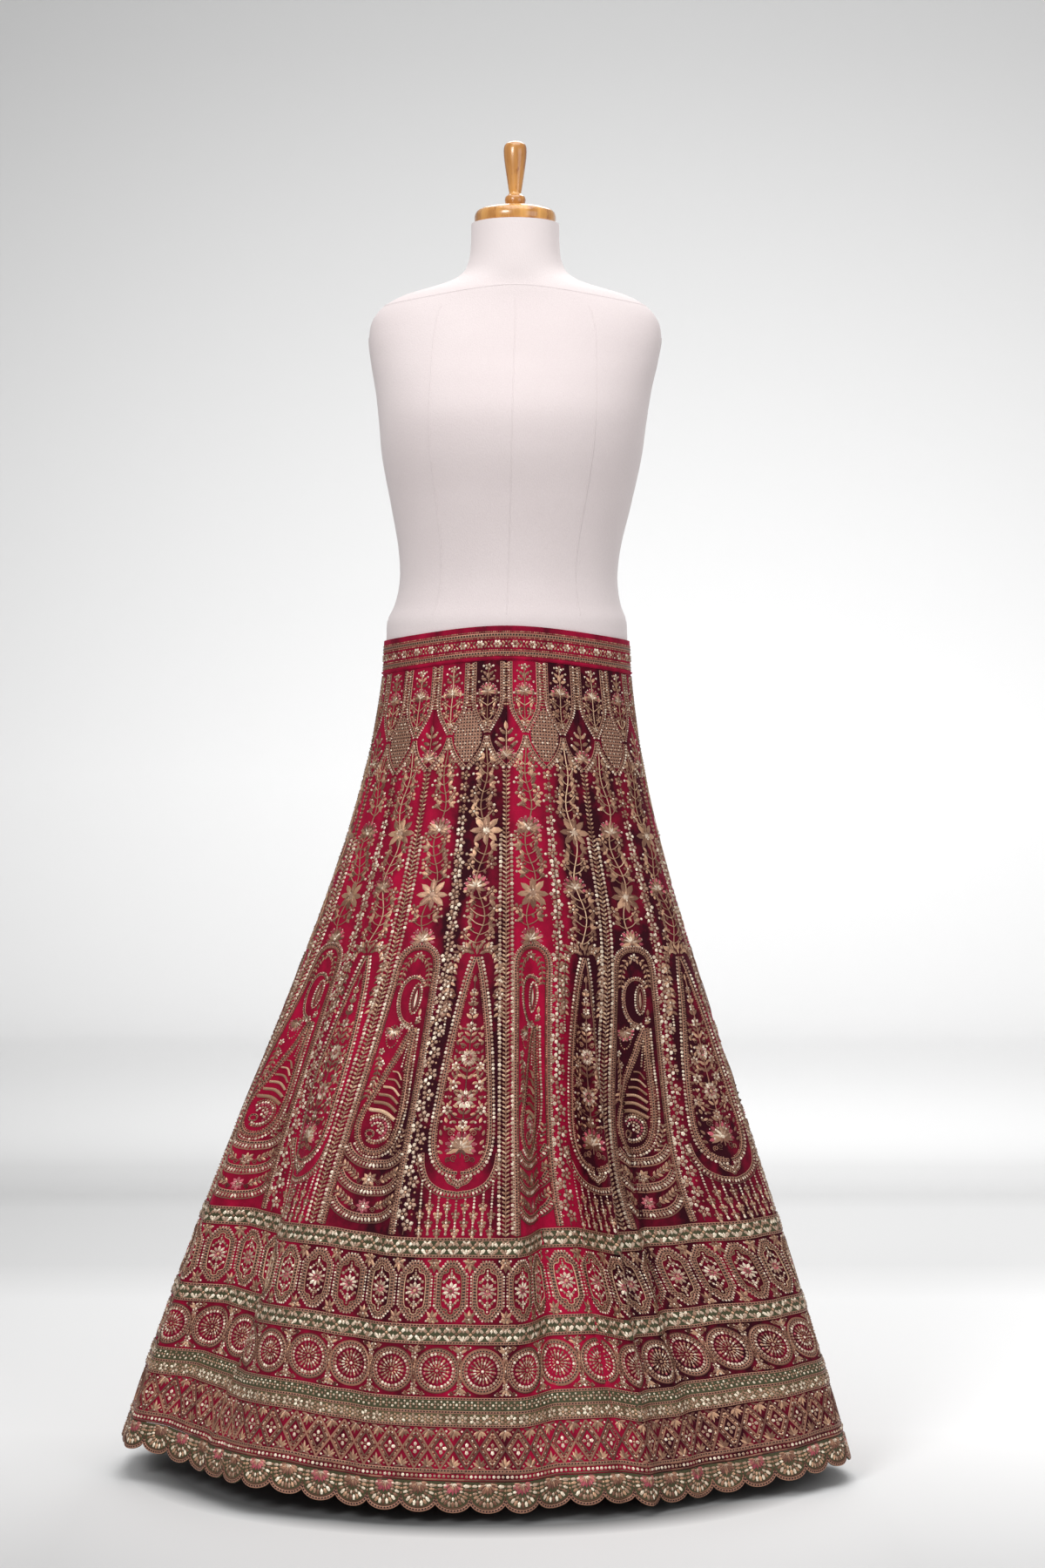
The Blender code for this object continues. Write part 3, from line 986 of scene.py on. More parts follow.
    def curl(self, at: tuple, radius: float, heading: float, side: int) -> None:
        """A small tendril that rolls up from a place.

        Args:
            at: where it starts.
            radius: its size.
            heading: its heading there.
            side: 1 or -1, the way that it rolls.
        """
        a = np.linspace(0.0, 1.45 * TURN, 15)
        r = radius * (1.0 - a / (1.75 * TURN))
        middle = np.array(at) + radius * np.array([-math.sin(heading), math.cos(heading)]) * side
        b = heading - side * math.pi / 2 + side * a
        self.cord(middle + beside(r * np.cos(b), r * np.sin(b)), 0.0011)

    def mirror(self) -> None:
        """Add everything again on the other side of x = 0."""
        points, faces = join(self.points), join(self.faces)
        self.points.append(points * (-1, 1, 1))
        self.faces.append(faces + self.count)
        for kept in (self.slots, self.tones, self.uvs):
            kept.append(join(kept))
        self.count *= 2


class Needlework:
    """One piece of needlework: motifs laid on a surface, at shares of the way around."""

    def __init__(self, name: str, surface: Surface, lift: float = 0.0002) -> None:
        """Start an empty piece, which lies a little above its surface.

        Args:
            name: the piece's name.
            surface: what it is sewn on.
            lift: how far it lies above that.
        """
        self.name, self.surface, self.lift = name, surface, lift
        self.points, self.faces, self.slots, self.tones, self.uvs = [], [], [], [], []
        self.count = 0

    def lay(self, motif: Motif, anchors: Array) -> "Needlework":
        """Lay a motif at each anchor, a share of the way around, and give the piece back.

        Args:
            motif: the motif.
            anchors: its places, as shares of the way around.

        Returns:
            The piece itself.
        """
        anchors = np.atleast_1d(np.asarray(anchors, float))
        flat, faces = join(motif.points), join(motif.faces)
        a, b, c = (flat[faces[:, i]] for i in range(3))
        turned = (b[:, 0] - a[:, 0]) * (c[:, 1] - a[:, 1]) > (b[:, 1] - a[:, 1]) * (c[:, 0] - a[:, 0])
        faces[turned] = faces[turned, ::-1]
        copies = len(anchors)
        level = np.tile(flat[:, 1], copies)
        share = np.repeat(anchors, len(flat)) + np.tile(flat[:, 0], copies) / self.surface.girth(level)
        self.points.append(self.surface.at(share, level, np.tile(flat[:, 2], copies) + self.lift))
        offsets = self.count + np.arange(copies)[:, None, None] * len(flat)
        self.faces.append((faces[None] + offsets).reshape(-1, 3))
        for kept, made in ((self.slots, motif.slots), (self.uvs, motif.uvs)):
            kept.append(np.tile(join(made), (copies,) + (1,) * (made[0].ndim - 1)))
        # a random shift of tone for each laid copy, which also stands in for painted glints
        change = np.random.default_rng(len(flat)).random((copies, 1))
        self.tones.append(np.mod(join(motif.tones)[None] + change, 1.0).ravel())
        self.count += copies * len(flat)
        return self

    def make(self, looks: dict, slot: str = "brocade") -> Object:
        """Make the piece.

        Args:
            looks: the material of each finish.
            slot: not used.

        Returns:
            The object.
        """
        slots = join(self.slots)
        used = np.unique(slots)
        finishes = list(Finish)
        made = mesh_object(self.name, join(self.points), join(self.faces),
            [looks[finishes[i]] for i in used], np.searchsorted(used, slots), join(self.uvs),
            {"tone": join(self.tones)})
        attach(made, "root")
        log.info("%s: %d triangles", self.name, len(made.data.polygons))
        return made


def repeats(count: int, first: int = 0, step: int = 1, shift: float = 0.5) -> Array:
    """Anchors in equal parts of the way around, from a first part on: their middles, or at another shift."""
    return (np.arange(first, count, step) + shift) / count


# ---- the skirt's cloth
@dataclass
class Kalis:
    """The twenty velvet panels."""

    cloth: Cloth
    columns: int = 15
    rows: int = 66
    nap_and_shade_levels: tuple = (0.2, 0.45, 0.62, 0.8)
    # place in kalis from the front, then how bright the cloth is painted at four levels down the skirt: the
    # pile's lay together with the folds' painted shade and sheen
    nap_and_painted_shade: tuple = ((-10, .3, .3, .3, .4), (-9.2, .7, .6, .8, .7), (-8.5, .2, .2, .3, .4),
        (-7.6, .8, .7, .7, .6), (-7, .3, .2, .3, .5), (-6.3, .8, .9, .8, .6), (-5.6, .4, .3, .5, .5),
        (-4.8, .7, .7, .8, .7), (-4, .7, .75, .8, .6), (-3.5, .8, .85, .85, .6), (-3, .55, .55, .6, .5),
        (-2.5, .7, .7, .7, .5), (-2.15, .8, .85, .9, .55), (-2, .3, .3, .4, .4), (-1.85, .7, .75, .35, .45),
        (-1.5, .75, .7, .15, .45), (-1.2, .5, .25, .12, .4), (-1.05, .12, .06, .05, .35),
        (-0.85, .1, .06, .06, .45), (-0.72, .2, .5, .75, .65), (-0.5, .3, .55, .85, .75),
        (-0.25, .15, .3, .75, .65), (-0.1, .1, .08, .25, .4), (0, .06, .05, .06, .2),
        (0.06, .5, .6, .4, .3), (0.2, .9, .95, .8, .7), (0.6, .95, 1, .95, .9), (0.95, .7, .9, .95, .9),
        (1.12, .5, .7, .7, .75), (1.3, .08, .08, .15, .4), (1.5, .06, .08, .12, .25),
        (2, .05, .06, .08, .15), (2.5, .1, .1, .1, .2), (2.85, .12, .12, .2, .2), (3, .3, .45, .65, .35),
        (3.15, .1, .12, .3, .25), (3.5, .1, .1, .12, .2), (3.9, .2, .2, .3, .25), (4.3, .5, .5, .5, .4),
        (4.6, .15, .1, .2, .3), (5.3, .6, .5, .5, .5), (6, .2, .2, .2, .3), (6.6, .7, .8, .6, .5),
        (7.4, .3, .2, .3, .4), (8.2, .8, .7, .8, .6), (9, .2, .3, .3, .4), (9.5, .6, .7, .6, .5),
        (10, .3, .3, .3, .4))

    def pile(self, shares: Array, levels: Array) -> Array:
        """How bright the cloth is painted at places: the pile's lay, with the folds' painted shade and sheen.

        Args:
            shares: how far around, 0 to 1 from the front.
            levels: how far down the cloth.

        Returns:
            The brightness, 0 to 1.
        """
        place = np.mod(shares * KALIS + 10.0, 20.0) - 10.0
        table = np.array(self.nap_and_painted_shade)
        lit = beside(*(np.interp(place, table[:, 0], column) for column in table[:, 1:].T))
        at = np.clip(np.interp(levels, self.nap_and_shade_levels, range(4)), 0.0, 2.999)
        row = at.astype(int)
        pick = lambda i: lit[np.arange(len(lit)), i]
        return pick(row) * (1.0 - at + row) + pick(row + 1) * (at - row)

    def make(self, look: Material) -> None:
        """Cut, sew and hang the panels.

        Args:
            look: the velvet.
        """
        levels = np.linspace(0.0, EDGING_LEVEL - LEDGE, self.rows)
        top, hem = (2 * self.cloth.half(v) for v in (0.0, EDGING_LEVEL))
        area = float(np.trapz(2 * self.cloth.half(levels), levels))
        gap = SEAM / self.cloth.girth(levels)[:, None] * np.array([1.0, *[0.0] * (self.columns - 2), -1.0])
        for index in range(KALIS):
            shares = (index + np.linspace(0.0, 1.0, self.columns)) / KALIS + gap
            level = np.repeat(levels[:, None], self.columns, axis=1)
            nap_and_painted_shade = self.pile(shares.ravel(), level.ravel())
            name = f"kali_{index + 1:02d}"
            made = shell(f"velvet_{name}", self.cloth, shares, level, 0.0, WALL, look, False, {"nap_and_painted_shade": nap_and_painted_shade})
            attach(made, "root")
            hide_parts(name)
        log.info("kalis: %.1f mm wide at the waist, %.1f mm at the hem, %.4f m2 each", top * 1e3, hem * 1e3,
            area)


@dataclass
class Trims:
    """The brocade bands, the scalloped edging and the waistband."""

    cloth: Cloth
    waist: Waist
    around: int = 560
    wall: float = 0.001
    lift: float = 0.0013

    def bands(self, olive: Material, gold: Material) -> None:
        """Lay the three bands over the kalis.

        Args:
            olive: the ground of the bands.
            gold: the ground of the lower band's lower half.
        """
        shares = np.arange(self.around) / self.around
        for name, (top, bottom) in BANDS.items():
            rows = np.linspace(top, bottom, 5)
            made = shell(f"brocade_{name}", self.cloth, shares, rows, self.lift, self.wall, olive, True)
            if name == "band_lower":
                made.data.materials.append(gold)
                half = len(rows) // 2
                slots = np.zeros(len(made.data.polygons), np.int32)
                slots[half * self.around:(len(rows) - 1) * self.around] = 1
                made.data.polygons.foreach_set("material_index", slots)
            self.finish(made, name, float(self.cloth.girth((top + bottom) / 2)), bottom - top, "laid",
                "kali_01")

    def edging(self, look: Material) -> None:
        """Hang the scalloped edging below the kalis.

        Args:
            look: its brocade.
        """
        per = 16
        count = SCALLOPS * per
        phase = (np.arange(count) / per) % 1.0 * 2.0 - 1.0
        lobe = 1.0 - np.sqrt(np.clip(1.0 - phase**2, 0.0, 1.0))
        bottom = KALI_LENGTH - NOTCH * lobe
        rows = np.linspace(0.0, 1.0, 7)[:, None]
        levels = EDGING_LEVEL * (1 - rows) + bottom[None] * rows
        made = shell("brocade_edging", self.cloth, np.arange(count) / count, levels, 0.0, WALL, look, True)
        self.finish(made, "scalloped_edging", float(self.cloth.girth(EDGING_LEVEL)),
            KALI_LENGTH - EDGING_LEVEL, "hung", "kali_01")

    def waistband(self, look: Material, work: "WaistWork") -> None:
        """Close the waistband round the form, with its piping.

        Args:
            look: the velvet.
            work: what is sewn on it.
        """
        count = 240
        seam = SEAM / self.waist.girth(0.0)
        shares = np.linspace(-0.5 + seam, 0.5 - seam, count + 1)
        rows = np.linspace(0.0, self.waist.high, 9)
        # one painted brightness of the velvet all round the band
        nap_and_painted_shade = np.full(9 * (count + 1), 0.62)
        made = shell("velvet_waistband", self.waist, shares, rows, 0.0, self.waist.wall, look, False,
            {"nap_and_painted_shade": nap_and_painted_shade})
        self.finish(made, "waistband", float(self.waist.girth(0.02)), self.waist.high, "stretched",
            "form_torso")
        work.make()

    def finish(self, made: Object, node: str, length: float, high: float, held: str, rests_on: str) -> None:
        """Attach a trim, hide the CAD node that it stands for and log its flat size.

        Args:
            made: the trim.
            node: the CAD node that it stands for.
            length: its flat length.
            high: its flat height.
            held: not used.
            rests_on: not used.
        """
        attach(made, "root")
        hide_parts(node)
        log.info("%s: %.3f x %.3f m", node, length, high)


@dataclass
class WaistWork:
    """Braid, leaves and beads on the waistband, and the piping along its lower edge."""

    waist: Waist
    looks: dict
    velvet: Material
    units: int = 40               # repeats of the work around the band

    def make(self) -> None:
        """Embroider the band."""
        unit, pitch = Motif(3), float(self.waist.girth(0.02)) / self.units
        across = np.linspace(-pitch / 2, pitch / 2, 5)
        for level, width in mm((10.5, 4.4), (31.5, 4)):
            unit.cord(beside(across, level), width, CHAIN, 0.0007)
        for level in (0.0068, 0.0142, 0.028, 0.0345):
            path = beside(across[[0, -1]], [level, level])
            unit.row(path, 0.0023, 0.0018)
        unit.flowers((0.0, 0.021), 0.0052, 6, PEARL, GOLD)
        for side in (-1, 1):
            unit.leaves([(side * pitch * 0.26, 0.025), (side * pitch * 0.26, 0.0172)],
                [-0.9 if side > 0 else -2.24, 0.9 if side > 0 else 2.24], 0.0052, 0.0024)
        unit.beads([(-pitch / 2, 0.018), (-pitch / 2, 0.024)], 0.0022, PEARL)
        Needlework("waistband_work", self.waist).lay(unit, repeats(self.units)).make(self.looks, "waistband")
        path = Motif(4)
        girth = float(self.waist.girth(0.0385))
        x = np.linspace(-girth / 2, girth / 2, 200)
        path.cord(beside(x, 0.0378), 0.004, THREAD, 0.0022)
        made = Needlework("waistband_piping", self.waist, 0.0).lay(path, [0.0]).make(self.looks, "waistband")
        made.data.materials[0] = self.velvet
        # one painted brightness of the velvet all along the piping
        made.data.attributes.new("nap_and_painted_shade", "FLOAT", "POINT").data.foreach_set("value",
            np.full(len(made.data.vertices), 0.75, np.float32))


# ---- flower shapes
def lotus(m: Motif, at: tuple, radius: float, up: float = UP) -> None:
    """A half-open flower with pink tips to its outer petals.

    Args:
        m: the motif that it is drawn in.
        at: its foot.
        radius: from its foot to a petal's tip.
        up: the heading of its middle petal.
    """
    foot = np.array([at])
    for a in np.linspace(-1.75, 1.75, 8):
        tip = foot + np.array([[math.cos(up + a), math.sin(up + a)]]) * radius * 0.62
        m.leaves(tip, up + a, radius * 0.42, radius * 0.26, PINK, 0.0009)
    for a in np.linspace(-1.95, 1.95, 9):
        m.leaves(foot, up + a, radius * 0.92, radius * 0.27)
    for a in np.linspace(-1.3, 1.3, 5):
        m.leaves(foot, up + a, radius * 0.66, radius * 0.25, PEARL, 0.0018)
    m.row(circle(at, radius * 0.97, 12, up - 1.5, up + 1.5), radius * 0.36, 0.0017, PEARL)
    m.beads(foot, radius * 0.34, PEARL)
    for a in (2.5, -2.5):
        m.leaves(foot, up + a, radius * 0.62, radius * 0.24, THREAD)


def rosette(m: Motif, at: tuple, radius: float, pink: bool) -> None:
    """An open flower seen from above, with a ring of beads round its heart.

    Args:
        m: the motif that it is drawn in.
        at: its middle.
        radius: from its middle to a petal's tip.
        pink: whether its petals are pink silk.
    """
    m.flowers(at, radius, 8, PINK if pink else GOLD, PEARL, UP, 0.48, True)
    m.row(circle(at, radius * 0.42, 10), radius * 0.36, radius * 0.24, PEARL)


def star_leaf(m: Motif, at: tuple, radius: float) -> None:
    """A large flower of eight pointed leaves.

    Args:
        m: the motif that it is drawn in.
        at: its middle.
        radius: from its middle to a leaf's tip.
    """
    m.flowers(at, radius, 8, GOLD, PEARL, UP, 0.4, True)
    m.flowers(at, radius * 0.8, 8, SATIN, PEARL, UP, 0.14, True)
    m.flowers(at, radius * 0.5, 8, GOLD, PEARL, UP + TURN / 16, 0.4, True)
    m.row(circle(at, radius * 0.24, 8), radius * 0.2, radius * 0.15, PEARL)


# ---- work on the kalis
@dataclass
class Yoke:
    """Arches below the waistband, one to a kali, and the pendants at the seams."""

    cloth: Cloth
    tip: float = 0.083
    pendant_tip: float = 0.124
    # half the width of a latticed pendant's inside, and the level
    shield: tuple = mm((1, 54), (4.8, 60), (9.6, 69), (14.2, 77.5), (16.6, 83), (16, 93.5), (12.5, 102.5),
        (6.2, 113), (0, 120.5))

    def arch(self) -> Motif:
        """The arch and its spray.

        Returns:
            The motif.
        """
        m, half = Motif(21), self.cloth.half
        shape = ((0.74, 0.001), (0.74, 0.02), (0.74, 0.04), (0.71, 0.05), (0.58, 0.06), (0.36, 0.069),
            (0.14, 0.0775), (0.0, self.tip))
        path = smooth([(f * half(v), v) for f, v in shape])
        m.cord(path, 0.0032, CHAIN)
        m.row(shifted(path, 0.0027), 0.003, 0.0024, PEARL)
        low = np.arange(0.004, 0.054, 0.0036)
        m.beads(beside(half(low) - 0.0012, low), 0.0028)
        m.beads(mm((5.6, 5.8), (8, 11.8), (6.6, 18), (10.8, 24), (12.5, 37.5), (12.5, 52)), 0.003, PEARL)
        m.leaves(mm((1, 17), (1.4, 22.5)), [-0.8, -0.3], 0.0078, 0.0038)
        for foot, bloom in (mm((0, 52), (9, 45.5)), mm((0, 69), (6.6, 59.5))):
            m.cord(smooth([foot, (bloom[0] * 0.6, foot[1] - 0.0035), bloom], per=3), 0.0011, SATIN)
            m.flowers(bloom, 0.005, 6, GOLD, PEARL, 0.4, 0.52)
            m.leaves((bloom[0] + 0.0004, bloom[1] - 0.005), UP + 0.15, 0.0074, 0.004)
        m.curl((0.0026, 0.0545), 0.0022, -0.5, 1)
        m.leaves(mm((0.8, 76.5), (1, 70)), [-0.6, 0.2], 0.006, 0.0032)
        m.mirror()
        m.cord(mm((0, 6), (0.5, 30), (-0.5, 55), (0, 76)), 0.0012, SATIN)
        m.flowers((0.0, 0.007), 0.0046)
        m.leaves((0.0, 0.0215), UP, 0.0085, 0.0044)
        lotus(m, (0.0, 0.036), 0.0108)
        m.flowers((0.0, 0.0735), 0.0034)
        return m

    def pendant(self, lattice: bool) -> Motif:
        """A pendant, filled with a lattice or with a flower.

        Args:
            lattice: whether a lattice fills it, and not a flower.

        Returns:
            The motif.
        """
        m, half = Motif(22), self.cloth.half
        edge = [(0.93, 0.087), (0.87, 0.093), (0.71, 0.1025), (0.42, 0.113), (0.0, self.pendant_tip)]
        path = smooth([(f * half(v), v) for f, v in edge])
        m.cord(path, 0.0032, CHAIN)
        m.row(shifted(path, 0.003), 0.0036, 0.0034, PEARL)
        if lattice:
            inside = lambda v: read(self.shield, 0, v)
            for v in np.arange(0.056, 0.118, 0.0037):
                m.cord(np.linspace((0.0, v), (inside(v), v), 4), 0.0036, CHAIN, 0.0007)
            spots = [(x, v) for i, v in enumerate(np.arange(0.06, 0.116, 0.005)) for x in np.arange(3)
                * 0.0058 + (i % 2) * 0.0029 if x < inside(v)]
            m.beads(spots, 0.0028, PEARL)
            m.mirror()
            return m
        m.beads(mm((6.8, 80), (11.2, 87), (12, 95)), 0.0033, PEARL)
        m.leaves(mm((0.8, 86), (1.2, 94), (6, 101)), [-0.75, -0.45, -0.9], 0.0085, 0.0042)
        m.curl((0.0045, 0.0985), 0.0024, -0.4, 1)
        m.mirror()
        m.cord(mm((0, 80), (0, 112)), 0.0012, SATIN)
        m.leaves((0.0, 0.0815), UP, 0.013, 0.0056)
        lotus(m, (0.0, 0.111), 0.0108)
        return m

    def make(self, looks: dict) -> None:
        """Sew the arches and the pendants.

        Args:
            looks: the material of each finish.
        """
        Needlework("yoke_arches", self.cloth).lay(self.arch(), repeats(KALIS)).make(looks)
        pendants = Needlework("yoke_pendants", self.cloth).lay(self.pendant(False), repeats(KALIS, 0, 2, 0.0))
        pendants.lay(self.pendant(True), repeats(KALIS, 1, 2, 0.0)).make(looks)


@dataclass
class SeamColumns:
    """Columns of flowers and of chevrons over the seams, turn by turn."""

    cloth: Cloth
    top: float = 0.127
    bottom: float = 0.662
    apart: float = 0.0132         # between single flowers
    closer: float = 0.0122        # between flowers that stand left and right by turns
    chevron_pitch: float = 0.0051

    def flowers(self) -> Motif:
        """One row of flowers that becomes two, on either side of a cord.

        Returns:
            The motif.
        """
        m = Motif(31)
        level = np.arange(self.top + 0.006, 0.225, self.apart)
        spots = beside(0.0, level)
        m.flowers(spots[:4], 0.0061, 5, GOLD, PEARL)
        m.flowers(spots[4:], 0.0064)
        start = level[-1] + 0.0115
        level = np.arange(start, self.bottom - 0.005, self.closer)
        side = np.where(np.arange(len(level)) % 2, 1.0, -1.0)
        out, radius = (np.interp(level, (start, 0.42, self.bottom), sizes)
            for sizes in mm((1, 2.6, 4), (6.6, 7.2, 7.3)))
        m.cord(beside(0.0, np.linspace(start, self.bottom, 60)), 0.0011)
        m.flowers(beside(side * out, level), radius, turn=m.dice.random(len(level)) * TURN)
        m.beads(beside(-side * (out + 0.0032), level), 0.0026)
        m.beads(beside(side * (out + 0.0042), level + self.closer / 2), 0.0024)
        return m

    def chevrons(self) -> Motif:
        """A spine with leaves in chevrons, and round beads along both sides further down.

        Returns:
            The motif.
        """
        m = Motif(32)
        m.cord(beside(0.0, np.linspace(self.top, self.bottom, 90)), 0.0012)
        level = np.arange(self.top + 0.004, self.bottom, self.chevron_pitch)
        length = np.interp(level, (self.top, 0.215, 0.3, self.bottom), (0.0054, 0.0048, 0.0052, 0.0056))
        low = level[level > 0.205]
        wide = np.interp(low, (0.205, 0.3, self.bottom), (0.0058, 0.007, 0.0076))
        for side in (-1, 1):
            m.leaves(beside(side * 0.0003, level), UP + side * 0.95, length, length * 0.5, SATIN, 0.0016)
            m.beads(beside(side * wide, low - 0.003), 0.0046, PEARL)
        m.beads(beside(0.0, low), 0.0022, PEARL)
        return m

    def make(self, looks: dict) -> None:
        """Sew the columns."""
        for name, first, motif in (("flower_columns", 1, self.flowers()),
                ("chevron_columns", 0, self.chevrons())):
            Needlework(name, self.cloth).lay(motif, repeats(KALIS, first, 2, 0.0)).make(looks)


@dataclass
class Vines:
    """Climbing stems with leaves, buds and flowers, between the yoke and the large motifs."""

    cloth: Cloth
    top: float = 0.101
    bottom: float = 0.33
    pitch: float = 0.0106

    def stem(self, flip: int) -> Array:
        """The winding stem.

        Args:
            flip: 1 or -1, the side that it first leans to.

        Returns:
            The stem's points.
        """
        level = np.linspace(self.top, self.bottom, 60)
        swing = np.interp(level, (self.top, 0.15, self.bottom), (0.0005, 0.004, 0.0065))
        return beside(flip * swing * np.sin((level - self.top) * TURN / 0.088), level)

    def branch(self, m: Motif, foot: Array, side: int, reach: float, turn: int) -> None:
        """A side branch.

        Args:
            m: the motif that it is drawn in.
            foot: where it leaves the stem.
            side: 1 to the right, -1 to the left.
            reach: how far it goes.
            turn: which of the four kinds it is: two flowers, a fan of leaves, or a tendril with a bead.
        """
        base, way = (0.0, 1) if side > 0 else (math.pi, -1)
        tip = foot + (side * reach, -0.0048)
        m.cord(smooth([foot + (0.0, 0.0045), foot + (side * reach * 0.5, 0.0018), tip], per=3), 0.0011, SATIN)
        if turn % 2 == 0:
            m.flowers(tip, 0.0067, 5, GOLD, PEARL, 0.3 * turn, 0.62)
            m.leaves(foot + (side * reach * 0.4, 0.0012), base + way * 1.1, 0.0064, 0.0036)
        elif turn == 1:
            m.fan(tip - (side * 0.004, 0.0), base, way * np.array((-1.15, -0.25, 0.65)), 0.0088, 0.0048)
            m.beads(tip + (side * 0.0062, -0.002), 0.0035, PEARL)
        else:
            m.fan(tip - (side * 0.005, 0.0), base, way * np.array((-0.9, 0.5)), 0.0084, 0.0046)
            m.curl(foot + (side * reach * 0.5, -0.001), 0.0026, UP, side)
            m.beads(tip + (side * 0.003, 0.0034), 0.0035, PEARL)

    def vine(self, seed: int, flip: int, lotuses: tuple, stars: tuple) -> Motif:
        """A vine with its large flowers at their own levels.

        Args:
            seed: for its unevenness.
            flip: 1 or -1, the side that it first leans to.
            lotuses: the levels of the lotus flowers.
            stars: the levels of the leaf flowers.

        Returns:
            The motif.
        """
        m, path = Motif(seed), self.stem(flip)
        m.cord(path, 0.0015, SATIN)
        taken = np.array([(v - 0.002, 0.0112) for v in lotuses] + [(v, 0.0142) for v in stars])
        at, _ = along(path, self.pitch)
        for index, place in enumerate(at[1:], 1):
            if (np.abs(place[1] - taken[:, 0]) < taken[:, 1]).any():
                continue
            reach = np.interp(place[1], (self.top, 0.16, self.bottom), (0.0062, 0.01, 0.0145))
            for side in (-1, 1):
                kind = (index + (0 if side == flip else 2) + index // 4) % 4
                self.branch(m, place, side, reach - side * place[0] * 0.5, kind)
        m.fan(path[0], UP, (-0.8, 0.0, 0.8), [0.007, 0.01, 0.007], 0.004)
        for v in lotuses:
            foot = (read(path, 0, v), v + 0.006)
            lotus(m, foot, 0.0148)
            m.fan(foot, 0.0, (0.45, math.pi - 0.45), 0.011, 0.0046)
        for v in stars:
            star_leaf(m, (read(path, 0, v), v), 0.0185)
        return m

    def make(self, looks: dict) -> None:
        """Sew the vines: two kinds, for the two kinds of kali."""
        work = Needlework("vines", self.cloth).lay(self.vine(41, 1, (0.258,), (0.198,)), repeats(KALIS, 1, 2))
        work.lay(self.vine(42, -1, (0.19, 0.32), (0.272,)), repeats(KALIS, 0, 2)).make(looks)


